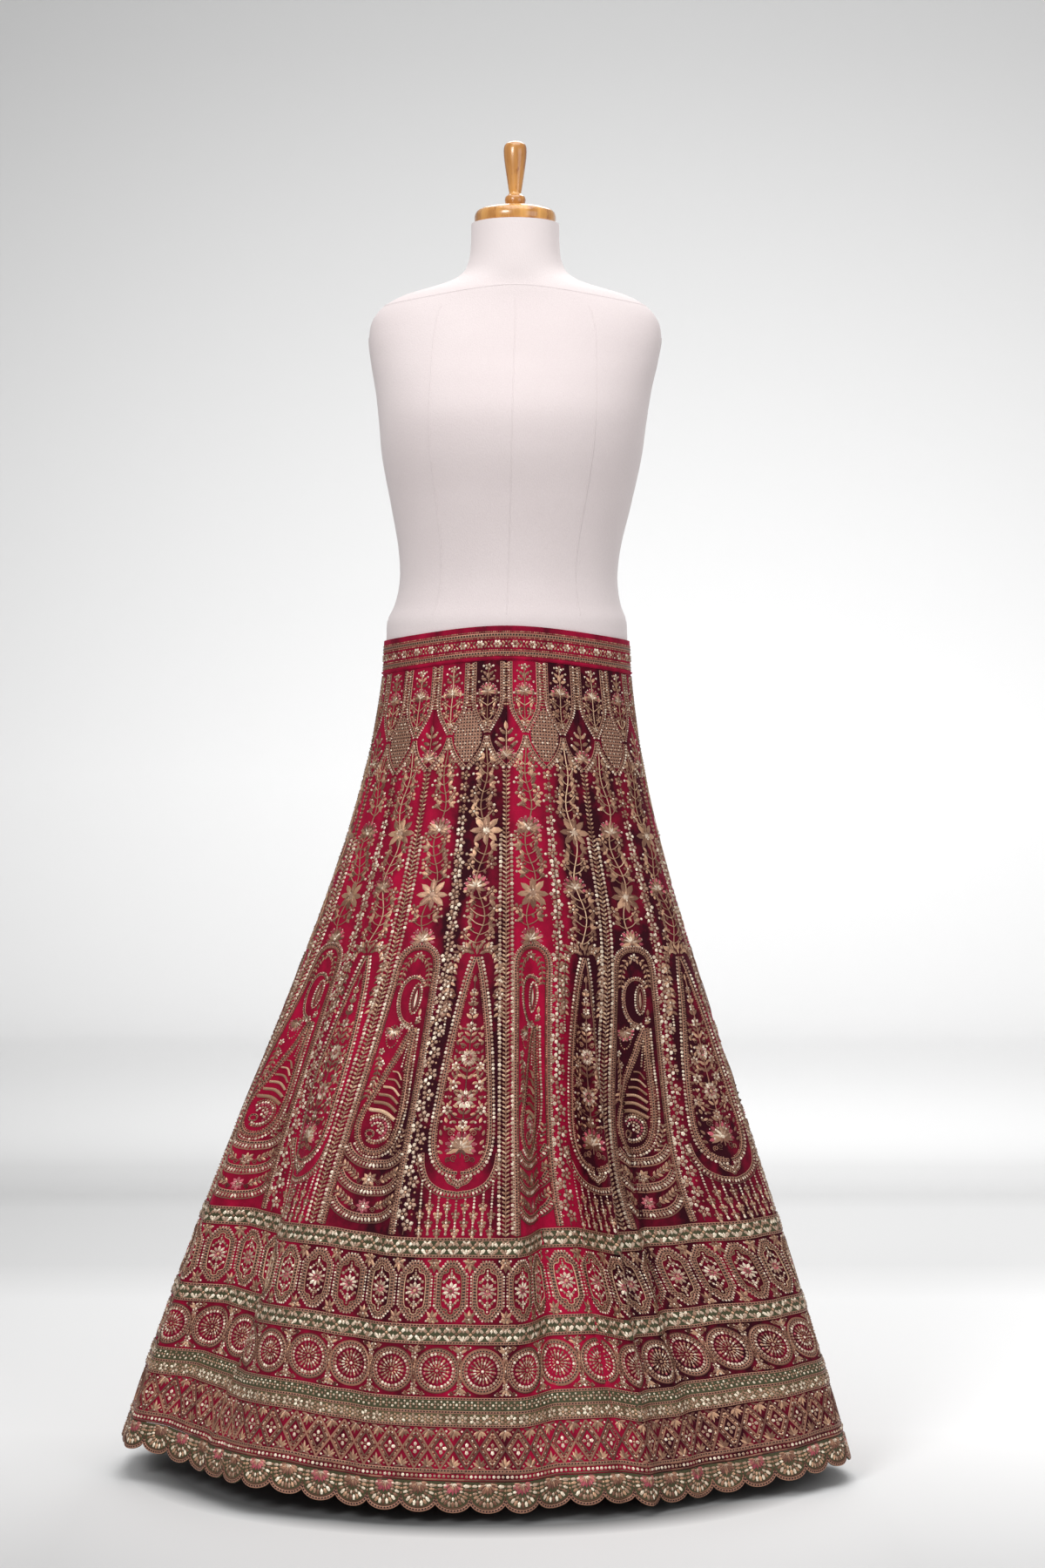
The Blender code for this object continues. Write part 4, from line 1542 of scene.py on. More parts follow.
@dataclass
class Teardrops:
    """A long teardrop with a flowering tree in it, its crown, its garland and hanging beads."""

    cloth: Cloth
    outline: tuple = mm((1.2, 346), (4.4, 357), (8, 371), (12.8, 395), (17, 419), (22, 453), (25.8, 485),
        (29.2, 518), (31.4, 542), (31.4, 559), (28.4, 573.5), (21.2, 585), (12, 590.5), (2, 592))
    # across, level, radius and petals of the tree's flowers, from the top
    blooms: tuple = ((0.0, 0.385, 0.0034, 5), (0.0, 0.3955, 0.004, 5), (0.0, 0.4085, 0.0048, 6),
        (0.0, 0.4265, 0.0066, 6), (0.0, 0.462, 0.0098, 10), (0.0138, 0.4715, 0.0056, 6),
        (0.0148, 0.4925, 0.0058, 6), (0.0, 0.509, 0.012, 12), (0.0192, 0.5205, 0.0062, 6),
        (0.0, 0.537, 0.006, 6))
    strings: int = 9
    bottom: float = 0.66

    def frame(self, m: Motif) -> None:
        """Right half of the outline, the crown's trail and the garland.

        Args:
            m: the motif that it is drawn in.
        """
        path = smooth(self.outline)
        m.cord(path, 0.004, CHAIN, 0.0012)
        m.row(shifted(path, 0.0042), 0.0046, 0.0039, PEARL)
        inner = path[path[:, 0] > 0.006]
        m.row(shifted(inner, -0.0031), 0.0026, 0.0019)
        trail = smooth(mm((4, 338), (14, 336), (23.5, 346), (27.5, 372), (30, 414)))
        m.spray(trail, 0.007, 0.0076, 0.0038)
        at, _ = along(trail, 0.015, 0.004)
        m.flowers(at, 0.005)
        m.curl((0.03, 0.37), 0.0026, -UP, -1)
        m.curl((0.0255, 0.39), 0.0024, -UP, 1)
        m.row(mm((30.2, 415), (31.2, 436)), 0.0034, 0.003, PEARL)
        garland = smooth(mm((45, 570), (43, 586), (35, 603), (20, 613.5), (0, 617.5)))
        m.cord(shifted(garland, -0.003), 0.0032, CHAIN)
        at, heading = along(garland, 0.004)
        m.stamp(BEAD, at, heading + math.pi / 2, 0.0042, 0.0028, 0.0014, PEARL)
        m.cord(shifted(garland, 0.0032), 0.0014)

    def tree(self, m: Motif) -> None:
        """Right half of the flowering tree.

        Args:
            m: the motif that it is drawn in.
        """
        for x, level, radius, petals in self.blooms:
            if x:
                m.cord(smooth([(0.0, level + 0.012), (x * 0.5, level + 0.0085), (x, level)], per=5), 0.0011)
                self.bloom(m, (x, level), radius, petals)
                a = np.array([-1.9, -0.9, 0.7, 1.9])
                foot = beside(x + radius * 0.9 * np.cos(a), level + radius * 0.9 * np.sin(a))
                m.leaves(foot, a, 0.0062, 0.0032)
        levels = np.array([0.3905, 0.402, 0.417, 0.437, 0.445, 0.478, 0.486, 0.526, 0.545])
        wide = read(self.outline, 0, levels)
        m.leaves(beside(wide * 0.02, levels), -0.7, np.clip(wide * 0.5, 0.0055, 0.0098), 0.004)
        m.leaves(beside(wide * 0.42, levels - 0.004)[3:], 0.35, 0.006, 0.0032)
        fill = np.arange(0.43, 0.55, 0.0088)
        wide = read(self.outline, 0, fill)
        for share, aim in ((0.24, -0.35), (0.6, -1.15)):
            m.leaves(beside(wide * share, fill), aim, 0.0062, 0.0032)
        m.curl((0.004, 0.449), 0.003, UP, 1)
        m.curl((0.009, 0.547), 0.004, UP, 1)
        m.curl((0.006, 0.579), 0.0042, 0.3, -1)
        m.curl((0.015, 0.58), 0.0034, -0.5, -1)
        m.leaves(mm((21, 560), (23.5, 550), (20, 570)), [-0.9, -1.3, -0.4], 0.0074, 0.0036)
        m.beads(mm((9, 440), (10.5, 456), (15.5, 460), (22, 506), (16, 506), (24.5, 534), (14, 535),
            (20, 540), (25.5, 562)), 0.003, PEARL)

    def bloom(self, m: Motif, at: tuple, radius: float, petals: int) -> None:
        """A flower of beads, with a second ring of them if it is large.

        Args:
            m: the motif that it is drawn in.
            at: its middle.
            radius: from its middle to a petal's tip.
            petals: how many petals it has.
        """
        m.flowers(at, radius, petals, PEARL, GOLD, UP, 5.2 / (petals + 2.5))
        if petals > 8:
            m.row(circle(at, radius * 0.42, 12), radius * 0.3, radius * 0.24, PINK)
            m.leaves(circle(at, radius * 0.72, petals)[:-1], np.linspace(0.0, TURN, petals + 1)[:-1],
                radius * 0.4, radius * 0.24)

    def motif(self) -> Motif:
        """The whole motif.

        Returns:
            The motif.
        """
        m = Motif(51)
        self.frame(m)
        self.tree(m)
        m.leaves(mm((3, 342), (2, 337), (10, 337), (18, 339), (10, 334)), [-0.5, -1.1, -1.2, -0.9, 0.9],
            0.0098, 0.0044)
        m.beads(mm((7.5, 328), (16, 330)), 0.0034, PEARL)
        for size in (1.0, 0.55):
            path = smooth([(0.015 * size, 0.5965), (0.0105 * size, 0.597 + 0.0055 * size),
                (0.004 * size, 0.5975 + 0.008 * size), (0.0, 0.5975 + 0.0115 * size)])
            m.cord(path, 0.0024, CHAIN)
            m.row(shifted(path, -0.002), 0.003, 0.0024, PEARL)
        m.mirror()
        m.cord(mm((0, 372), (0.6, 420), (-0.6, 480), (0, 575)), 0.0013)
        m.leaves(mm((0, 343), (0, 375.5)), UP, [0.0125, 0.0085], 0.0042)
        for x, level, radius, petals in self.blooms:
            if not x:
                self.bloom(m, (x, level), radius, petals)
        lotus(m, (0.0, 0.564), 0.0182)
        m.row(circle((0.0, 0.564), 0.0112, 16, UP - 1.9, UP + 1.9), 0.0038, 0.0036, PEARL)
        for index in range(self.strings):
            x = (index - (self.strings - 1) / 2) * 0.01
            top = np.interp(abs(x), (0.0, 0.02, 0.036, 0.044), (0.6215, 0.6175, 0.606, 0.592))
            m.row([(x, top), (x, self.bottom)], 0.0036, 0.003, PEARL)
            m.beads((x, self.bottom), 0.0036, PEARL)
            for knot in ((0.629, 0.648) if index % 2 else (0.6385, 0.657)):
                m.flowers((x, knot), 0.0054, 5, GOLD, PEARL, UP, 0.7)
                m.leaves((x, knot + 0.003), -UP, 0.0072, 0.0036, SATIN)
        return m

    def make(self, looks: dict) -> None:
        """Sew the motif on every second kali."""
        Needlework("teardrops", self.cloth).lay(self.motif(), repeats(KALIS, 1, 2)).make(looks)


@dataclass
class Paisleys:
    """A niche with a curled bud, a paisley and three scalloped swags in it."""

    cloth: Cloth
    niche: tuple = mm((0, 333), (10, 335), (19, 343), (23.2, 357), (24.6, 380), (27.8, 420), (32.5, 470),
        (37.5, 530), (42, 600), (45.2, 662))
    body: tuple = mm((12, 429), (15, 459), (17.6, 483), (20.5, 507), (21.6, 530.6), (19.2, 550),
        (11.5, 567), (0, 573.5), (-14, 572), (-24.5, 562), (-28.5, 546), (-26.2, 530), (-17, 507),
        (-8.5, 483), (0.5, 459), (6.5, 440))
    hook: tuple = mm((5, 425), (-4, 420), (-10.8, 408), (-13.2, 392), (-10.5, 378), (-3, 370.5), (6, 371.2),
        (11.8, 377.5))
    swags: tuple = (0.5905, 0.621, 0.652)

    def inside(self, level: float) -> float:
        """Half the niche's width at a level."""
        return read(self.niche, 0, level)

    def niche_half(self, m: Motif) -> None:
        """Right half of the niche, its leaf garland and the swags.

        Args:
            m: the motif that it is drawn in.
        """
        path = smooth(self.niche)
        m.cord(path, 0.0036, CHAIN, 0.0011)
        m.row(shifted(path, 0.0029), 0.0028, 0.0023, PEARL)
        m.row(shifted(path, -0.0028), 0.0026, 0.002)
        m.cord(shifted(path, -0.0041), 0.0009)
        m.spray(smooth(mm((0, 345), (9, 349), (15, 362), (16.5, 380))), 0.0058, 0.006, 0.0028)
        for v in self.swags:
            edge = self.inside(v) - 0.0035
            path = smooth([(edge, v - 0.02), (edge * 0.84, v - 0.0115), (edge * 0.52, v - 0.004),
                (0.0, v - 0.001)])
            m.cord(shifted(path, -0.0047), 0.004, CHAIN)
            at, heading = along(path, 0.004)
            m.stamp(BEAD, at, heading + 1.25, 0.0056, 0.0031, 0.0015, PEARL)
            m.cord(shifted(path, 0.0037), 0.0018)
        for v in self.swags[:2]:
            middle = v + 0.015
            edge = self.inside(middle) - 0.007
            trail = smooth([(0.0115, middle - 0.0005), (edge * 0.6, middle - 0.005),
                (edge, middle - 0.014)])
            m.spray(trail, 0.0048, 0.0068, 0.0035, spread=0.8)
            m.row(trail, 0.0044, 0.002, PEARL)
            m.curl((0.0085, middle + 0.003), 0.003, UP, 1)

    def curled_bud(self, m: Motif) -> None:
        """The crook above the paisley, the long bud in it and the flowers at its foot.

        Args:
            m: the motif that it is drawn in.
        """
        path = smooth(self.hook)
        m.cord(path, 0.0028, CHAIN, 0.0011)
        at, heading = along(shifted(path, -0.0018), 0.0042)
        m.leaves(at, heading - 1.2, 0.0056, 0.0036)
        m.row(shifted(path, 0.0022), 0.0028, 0.002, PEARL)
        m.row(ring((0.0062, 0.3945), 0.0062, 0.0175, 28), 0.0032, 0.0029, PEARL)
        m.cord(ring((0.0062, 0.3945), 0.0036, 0.014, 20), 0.0014)
        m.leaves((0.0062, 0.406), UP, 0.023, 0.0034, PEARL, 0.0018)
        lotus(m, (-0.0112, 0.433), 0.0105, -UP)
        m.row(ring((-0.0112, 0.44), 0.007, 0.013, 24), 0.003, 0.0022)
        m.flowers(mm((6, 426.5), (15, 418), (-2.5, 427)), [0.0052, 0.0038, 0.004])
        m.leaves(mm((11, 423), (13, 429), (15, 414)), [-0.3, 0.8, -1.5], 0.008, 0.0036)
        m.curl((0.019, 0.433), 0.0028, -UP, 1)

    def paisley(self, m: Motif) -> None:
        """The paisley with its satin bars and its rose.

        Args:
            m: the motif that it is drawn in.
        """
        path = smooth(self.body, True)
        m.cord(path, 0.0036, CHAIN, 0.0013)
        m.row(shifted(path, -0.0031), 0.003, 0.0024)
        m.row(shifted(path, 0.003), 0.0032, 0.0026)
        m.row(shifted(smooth(self.body[:10]), 0.0062), 0.0038, 0.0035, PEARL)
        for index, v in enumerate(np.linspace(0.48, 0.526, 6)):
            low = read(self.body[:10:-1][:5], 0, v) + 0.0062
            high = read(self.body[:5], 0, v + 0.01) - 0.0062
            bar = smooth([(low, v), ((low + high) / 2, v + 0.001), (high, v + 0.0095)], per=5)
            m.cord(bar, 0.0018 + 0.0005 * index, SATIN, 0.0022)
        eye, rose = mm((-11.5, 553.5), (-4, 547.5))
        m.cord(ring(eye, 0.005, 0.004, 16), 0.0024, CHAIN, 0.0014)
        for radius, size, finish, start, end in ((0.0074, 0.0034, PEARL, -2.9, 0.9),
                (0.0108, 0.0034, PINK, -2.7, 1.2), (0.0138, 0.0034, PEARL, -2.5, 2.2),
                (0.0166, 0.0028, GOLD, -2.3, 2.2)):
            m.row(circle(rose, radius, 24, start, end), size * 1.08, size, finish)
        m.beads(mm((-3, 549), (0.5, 546.5), (0, 551), (-3, 544)), 0.0034, PEARL)
        m.row(mm((9.8, 442), (8, 475)), 0.0034, 0.0026, PEARL)
        m.row(mm((12.5, 450), (11.8, 480)), 0.0034, 0.0022)
        sprig = smooth(mm((-22.5, 462), (-20, 485), (-26.5, 513)))
        m.spray(sprig, 0.0058, 0.0066, 0.0032)
        m.flowers(mm((-20.5, 458), (-22.5, 496), (-17, 472)), 0.0044)
        m.curl((-0.029, 0.515), 0.0028, UP, -1)
        sprig = smooth(mm((18, 576), (27, 564), (32, 544)))
        m.spray(sprig, 0.0062, 0.0062, 0.003)
        m.row(sprig, 0.006, 0.0026, PEARL)

    def motif(self) -> Motif:
        """The whole motif.

        Returns:
            The motif.
        """
        m = Motif(61)
        self.niche_half(m)
        m.mirror()
        self.curled_bud(m)
        self.paisley(m)
        for v in self.swags[:2]:
            rosette(m, (0.0, v + 0.015), 0.0088, v > self.swags[0])
            m.row(circle((0.0, v + 0.015), 0.0048, 12), 0.0026, 0.002, PEARL)
        m.flowers((0.0, 0.344), 0.0048)
        return m

    def make(self, looks: dict) -> None:
        """Sew the motif on the kalis between the teardrops."""
        Needlework("paisleys", self.cloth).lay(self.motif(), repeats(KALIS, 0, 2)).make(looks)


# ---- borders
@dataclass
class Borders:
    """The bands' own flowers, and the octagons, medallions, diamonds and scallops between and below them."""

    cloth: Cloth
    looks: dict
    octagons: int = 60
    medallions: int = 50
    diamonds: int = 92
    band_flowers: int = 160

    def pitch(self, level: float, count: int) -> float:
        """The width of one of a row's repeats."""
        return self.cloth.girth(level) / count

    def sew(self, name: str, motif: Motif, count: int, lift: float = 0.0002) -> None:
        """Sew one row of repeats."""
        Needlework(name, self.cloth, lift).lay(motif, repeats(count)).make(self.looks)

    def line(self, m: Motif, level: float, width: float, pitch: float, finish: Finish = CHAIN) -> None:
        """A braid or cord straight across one repeat."""
        x = np.linspace(-pitch / 2, pitch / 2, 3)
        m.cord(beside(x, level), width, finish, 0.0008)

    def flowered_band(self, name: str, top: float, bottom: float) -> None:
        """Four-petalled flowers between two braids.

        Args:
            name: the band's node.
            top: its upper edge.
            bottom: its lower edge.
        """
        pitch, middle = self.pitch((top + bottom) / 2, self.band_flowers), (top + bottom) / 2
        m = Motif(71)
        for level in (top + 0.0017, bottom - 0.0017):
            self.line(m, level, 0.0032, pitch)
        m.flowers((0.0, middle), 0.008, 4, PEARL, GOLD, math.pi / 4, 0.54)
        for side in (-1, 1):
            edge = middle + side * 0.0068
            m.stamp(BEAD, [(-pitch / 2 + s * 0.0021, edge - side * (0.003 if s == 0 else 0.001))
                for s in (-1, 0, 1)], -side * math.pi / 2 + np.array([-0.85, 0.0, 0.85]), 0.0052, 0.0029,
                0.0014, PEARL)
        self.sew(f"{name}_flowers", m, self.band_flowers, 0.0014)

    def lower_band(self) -> None:
        """A bead lattice over a row of small flowers, with braids between."""
        top, bottom = BANDS["band_lower"]
        middle, count = (top + bottom) / 2, 190
        pitch = self.pitch(middle, count)
        m = Motif(72)
        for level in (top + 0.0016, middle, bottom - 0.0016):
            self.line(m, level, 0.003, pitch)
        high, low = (top + middle) / 2 + 0.0002, (middle + bottom) / 2
        m.beads([(-pitch / 4, high - 0.003), (pitch / 4, high - 0.003), (0.0, high), (-pitch / 2, high),
            (-pitch / 4, high + 0.003), (pitch / 4, high + 0.003)], 0.003, PEARL)
        m.beads([(-pitch / 4, high), (pitch / 4, high)], 0.0022)
        m.flowers((0.0, low), 0.0062, 6, PEARL, GOLD, UP, 0.54)
        m.beads([(-pitch / 2, low + v) for v in (-0.004, 0.0, 0.004)], 0.003)
        self.sew("band_lower_flowers", m, count, 0.0014)

    def octagon_row(self) -> None:
        """Tall octagons with a notched niche and a rosette."""
        centre = 0.7225
        pitch = self.pitch(centre, self.octagons)
        m = Motif(73)
        wide = pitch / 2

        def octagon(w: float, h: float, cut: float) -> Array:
            """Right half of an octagon, from its top."""
            corners = [(0.0, -h), (w - cut, -h + 0.0006), (w, -h + cut * 1.3), (w, h - cut * 1.3),
                (w - cut, h - 0.0006), (0.0, h)]
            return join([np.linspace(a, b, 5)[:-1] for a, b in zip(corners, corners[1:])]
                + [np.array([corners[-1]])]) + (0.0, centre)

        m.row(octagon(wide * 0.9, 0.033, 0.0125), 0.0036, 0.0028, PEARL)
        m.cord(octagon(wide * 0.73, 0.0302, 0.01), 0.004, CHAIN, 0.0012)
        niche = [(0.0, -0.0268), (0.0036, -0.0252), (0.0046, -0.021), (0.0096, -0.019), (0.0116, -0.015)]
        niche = smooth(niche + [(x, -v) for x, v in niche[::-1]], per=4) + (0.0, centre)
        m.cord(shifted(niche, 0.0008), 0.0024, CHAIN, 0.0013)
        m.cord(shifted(niche, -0.0006), 0.0011, SATIN, 0.0014)
        for size, finish, x, v in ((0.0032, PEARL, 0.005, 0.0132), (0.0034, PEARL, 0.0082, 0.01),
                (0.0026, GOLD, 0.0028, 0.0165), (0.0026, GOLD, 0.0062, 0.0112)):
            m.beads([(x, centre - v), (x, centre + v)], size, finish)
        for v, turn in ((centre - 0.03, 1.0), (centre + 0.03, -1.0)):
            m.fan((wide * 0.985, v), -UP * turn, (0.5, 1.1), 0.0052, 0.0024, THREAD)
        m.mirror()
        m.flowers((0.0, centre), 0.01, 10, PEARL, GOLD, UP, 0.36)
        m.flowers((0.0, centre), 0.006, 8, PINK, PEARL, UP, 0.4)
        m.beads([(s * 0.0088, centre + v) for s in (-1, 1) for v in (-0.003, 0.003)], 0.0032, PEARL)
        for side in (-1, 1):
            m.flowers((0.0, centre + side * 0.015), 0.004, 4, PEARL, PEARL, 0.0, 0.75)
            m.beads([(0.0, centre + side * v) for v in (0.0195, 0.0225)], 0.0028, PEARL)
            at = (-wide, centre + side * 0.031)
            m.flowers(at, 0.0056, 6, GOLD, PEARL)
            m.fan(at, side * UP, (-0.7, 0.0, 0.7), 0.0105, 0.0038)
            m.fan(at, -side * UP, (-1.2, 1.2), 0.0078, 0.003)
            m.beads([(-wide + s * 0.0062, centre + side * 0.033) for s in (-1, 1)], 0.0026, PEARL)
        self.sew("octagons", m, self.octagons)

    def medallion_row(self) -> None:
        """Round medallions with a ring of beads and a flower of long beads."""
        centre = 0.8095
        pitch = self.pitch(centre, self.medallions)
        m = Motif(74)
        here = (0.0, centre)
        outer = min(pitch / 2, 0.0262)
        m.cord(circle(here, outer - 0.001, 48), 0.0012)
        m.cord(circle(here, outer - 0.0034, 40), 0.0036, CHAIN, 0.0012)
        m.row(circle(here, outer - 0.0072, 48), 0.0041, 0.0037, PEARL)
        for count, reach, long, wide, finish, rise in ((18, 0.0126, 0.004, 0.0027, GOLD, 0.0012),
                (9, 0.0136, 0.0034, 0.0026, PINK, 0.0014), (18, 0.009, 0.0044, 0.0022, PEARL, 0.0015),
                (10, 0.0052, 0.0044, 0.0022, GOLD, 0.0015)):
            a = np.arange(count) * TURN / count + reach * 9.0
            m.stamp(BEAD, here + beside(np.cos(a), np.sin(a)) * reach, a, long, wide, rise, finish)
        m.beads(here, 0.004, PEARL)
        m.flowers((-pitch / 2, centre), 0.0058, 6, GOLD, PEARL, UP, 0.5)
        m.flowers([(-pitch / 2, centre + v) for v in (-0.0088, 0.0088)], 0.0036, 5, GOLD)
        for side in (-1, 1):
            for v in (0.0225, 0.0165):
                m.flowers((-pitch / 2, centre + side * v), 0.0042, 5)
            m.fan((-pitch / 2, centre + side * 0.0195), -side * UP, (-1.15, -0.5, 0.5, 1.15), 0.0092, 0.0034)
            m.fan((-pitch / 2, centre + side * 0.015), side * UP, (-0.35, 0.35), 0.0075, 0.003, THREAD)
            for way, heading in ((1, 0.0), (-1, math.pi)):
                m.curl((-pitch / 2 + way * 0.0085, centre + side * 0.0225), 0.0026, heading, way * side)
            m.beads([(-pitch / 2 + s, centre + side * 0.0255) for s in (-0.0115, -0.005, 0.005, 0.0115)],
                0.0022, PEARL)
        self.sew("medallions", m, self.medallions)

    def diamond_row(self) -> None:
        """Rhombi of two cords and beads, with a flower of pearls."""
        centre = 0.893
        pitch = self.pitch(centre, self.diamonds)
        m = Motif(75)
        for share, width in ((0.99, 0.0024), (0.62, 0.002)):
            w, h = pitch / 2 * share, 0.0218 * share
            for side in ([(0.0, -h), (w / 2, -h / 2), (w, 0.0)], [(w, 0.0), (w / 2, h / 2), (0.0, h)]):
                m.cord(np.array(side) + (0.0, centre), width, THREAD, 0.0011)
        w, h = pitch / 2 * 0.8, 0.0218 * 0.8
        for start, end in (((0.0, -h), (w, 0.0)), ((w, 0.0), (0.0, h))):
            m.row(np.array([start, end]) + (0.0, centre), 0.0032, 0.0027)
            m.row(np.array([start, end]) * 1.04 + (0.0, centre), 0.0078, 0.002, PEARL)
        m.mirror()
        m.flowers((0.0, centre), 0.0066, 4, PEARL, GOLD, 0.0, 0.62)
        for side in (-1, 1):
            at = (-pitch / 2, centre + side * 0.0195)
            m.fan(at, side * UP, (-0.95, -0.5, 0.0, 0.5, 0.95), [0.0088, 0.0096, 0.012, 0.0096, 0.0088],
                0.0034)
            m.beads([(at[0] + s * 0.0086, at[1] - side * 0.001) for s in (-1, 1)] + [at], 0.0027, PEARL)
            m.fan(at, -side * UP, (-1.3, 1.3), 0.0084, 0.0032, THREAD)
        self.sew("diamonds", m, self.diamonds)

    def hem_line(self) -> None:
        """A line of beads between two braids, above the scallops."""
        count = 176
        pitch = self.pitch(0.9215, count)
        m = Motif(76)
        self.line(m, 0.9168, 0.0034, pitch)
        for level, width in mm((919.2, 1.2), (926.2, 1.8)):
            self.line(m, level, width, pitch, THREAD)
        m.beads([((i + 0.5) * pitch / 3 - pitch / 2, 0.9226) for i in range(3)], 0.0039, PEARL)
        self.sew("hem_braids", m, count, 0.0004)

    def scallops(self, pink: bool) -> Motif:
        """The work on one scallop.

        Args:
            pink: whether its fan is pink silk.

        Returns:
            The motif.
        """
        m = Motif(77)
        pitch = self.pitch(0.945, SCALLOPS)
        middle = (0.0, 0.93)
        half = pitch / 2

        def hoop(wide: float, low: float) -> Array:
            """A loop that hangs from the braid down to a level.

            Args:
                wide: half its width.
                low: its lowest point's level.

            Returns:
                The loop's points.
            """
            a, drop = np.linspace(0.0, math.pi, 18), min(wide, low - 0.9312)
            bow = beside(wide * np.cos(a), low - drop + drop * np.sin(a))
            return join([[(wide, 0.9306)], bow, [(-wide, 0.9306)]])

        a = np.linspace(0.0, math.pi, 22)
        edge = beside((half - 0.0004) * np.cos(a), KALI_LENGTH - NOTCH - 0.002 + NOTCH * np.sin(a))
        m.cord(edge, 0.0036, CHAIN, 0.0009)
        m.cord(edge - (0.0, 0.003), 0.001, THREAD)
        for inset, low, long, wide in mm((4.6, 952.4, 7, 3.7), (10.2, 946.8, 4.6, 3)):
            at, heading = along(hoop(half - inset, low), wide + 0.0003)
            for start, finish in ((0, PEARL), (1, GOLD)):
                m.stamp(BEAD, at[start::2], heading[start::2] + math.pi / 2, long, wide, 0.0015, finish)
        fan = np.linspace(0.02, math.pi - 0.02, 11)
        foot = beside(0.002 * np.cos(fan), middle[1] + 0.0022 * np.sin(fan))
        m.leaves(foot, fan, 0.008 + 0.003 * np.sin(fan), 0.0036, PINK if pink else THREAD)
        m.leaves(foot, fan + 0.14, 0.008, 0.002, GOLD, 0.0016)
        m.fan(middle, 0.0, np.linspace(0.5, math.pi - 0.5, 4), 0.005, 0.0022, PEARL, 0.002)
        m.beads([(-half, 0.9325), (-half, 0.9372), (-half, 0.942)], 0.0028)
        return m

    def make(self) -> None:
        """Sew the borders."""
        for name in ("band_upper", "band_middle"):
            self.flowered_band(name, *BANDS[name])
        self.lower_band()
        self.octagon_row()
        self.medallion_row()
        self.diamond_row()
        self.hem_line()
        work = Needlework("scallop_work", self.cloth).lay(self.scallops(True), repeats(SCALLOPS, 0, 2))
        work.lay(self.scallops(False), repeats(SCALLOPS, 1, 2)).make(self.looks)


# ---- the dress form
def turned(name: str, profile: list, place: tuple, look: Material, node: str, slot: str, steps: int = 72,
        round_by: int = 4) -> None:
    """A piece turned on a lathe.

    Args:
        name: the piece's name.
        profile: (radius, height) pairs from the top to the foot.
        place: the foot's place.
        look: its material.
        node: the CAD node that it stands for.
        slot: not used.
        steps: its sides.
        round_by: how finely the profile is rounded.
    """
    path = smooth(profile, per=round_by)[1:-1]
    path[:, 0] = np.maximum(path[:, 0], 0.0)
    a = np.arange(steps) * TURN / steps
    (radius, height), turn = np.repeat(path, steps, axis=0).T, np.tile(a, len(path))
    rings = beside(radius * np.sin(turn), -radius * np.cos(turn), height)
    ends = np.array([(0.0, 0.0, profile[0][1]), (0.0, 0.0, profile[-1][1])])
    made = capped(name, rings + place, steps, ends + place, look)
    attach(made, "root")
    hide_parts(node)
    log.info("%s", name)


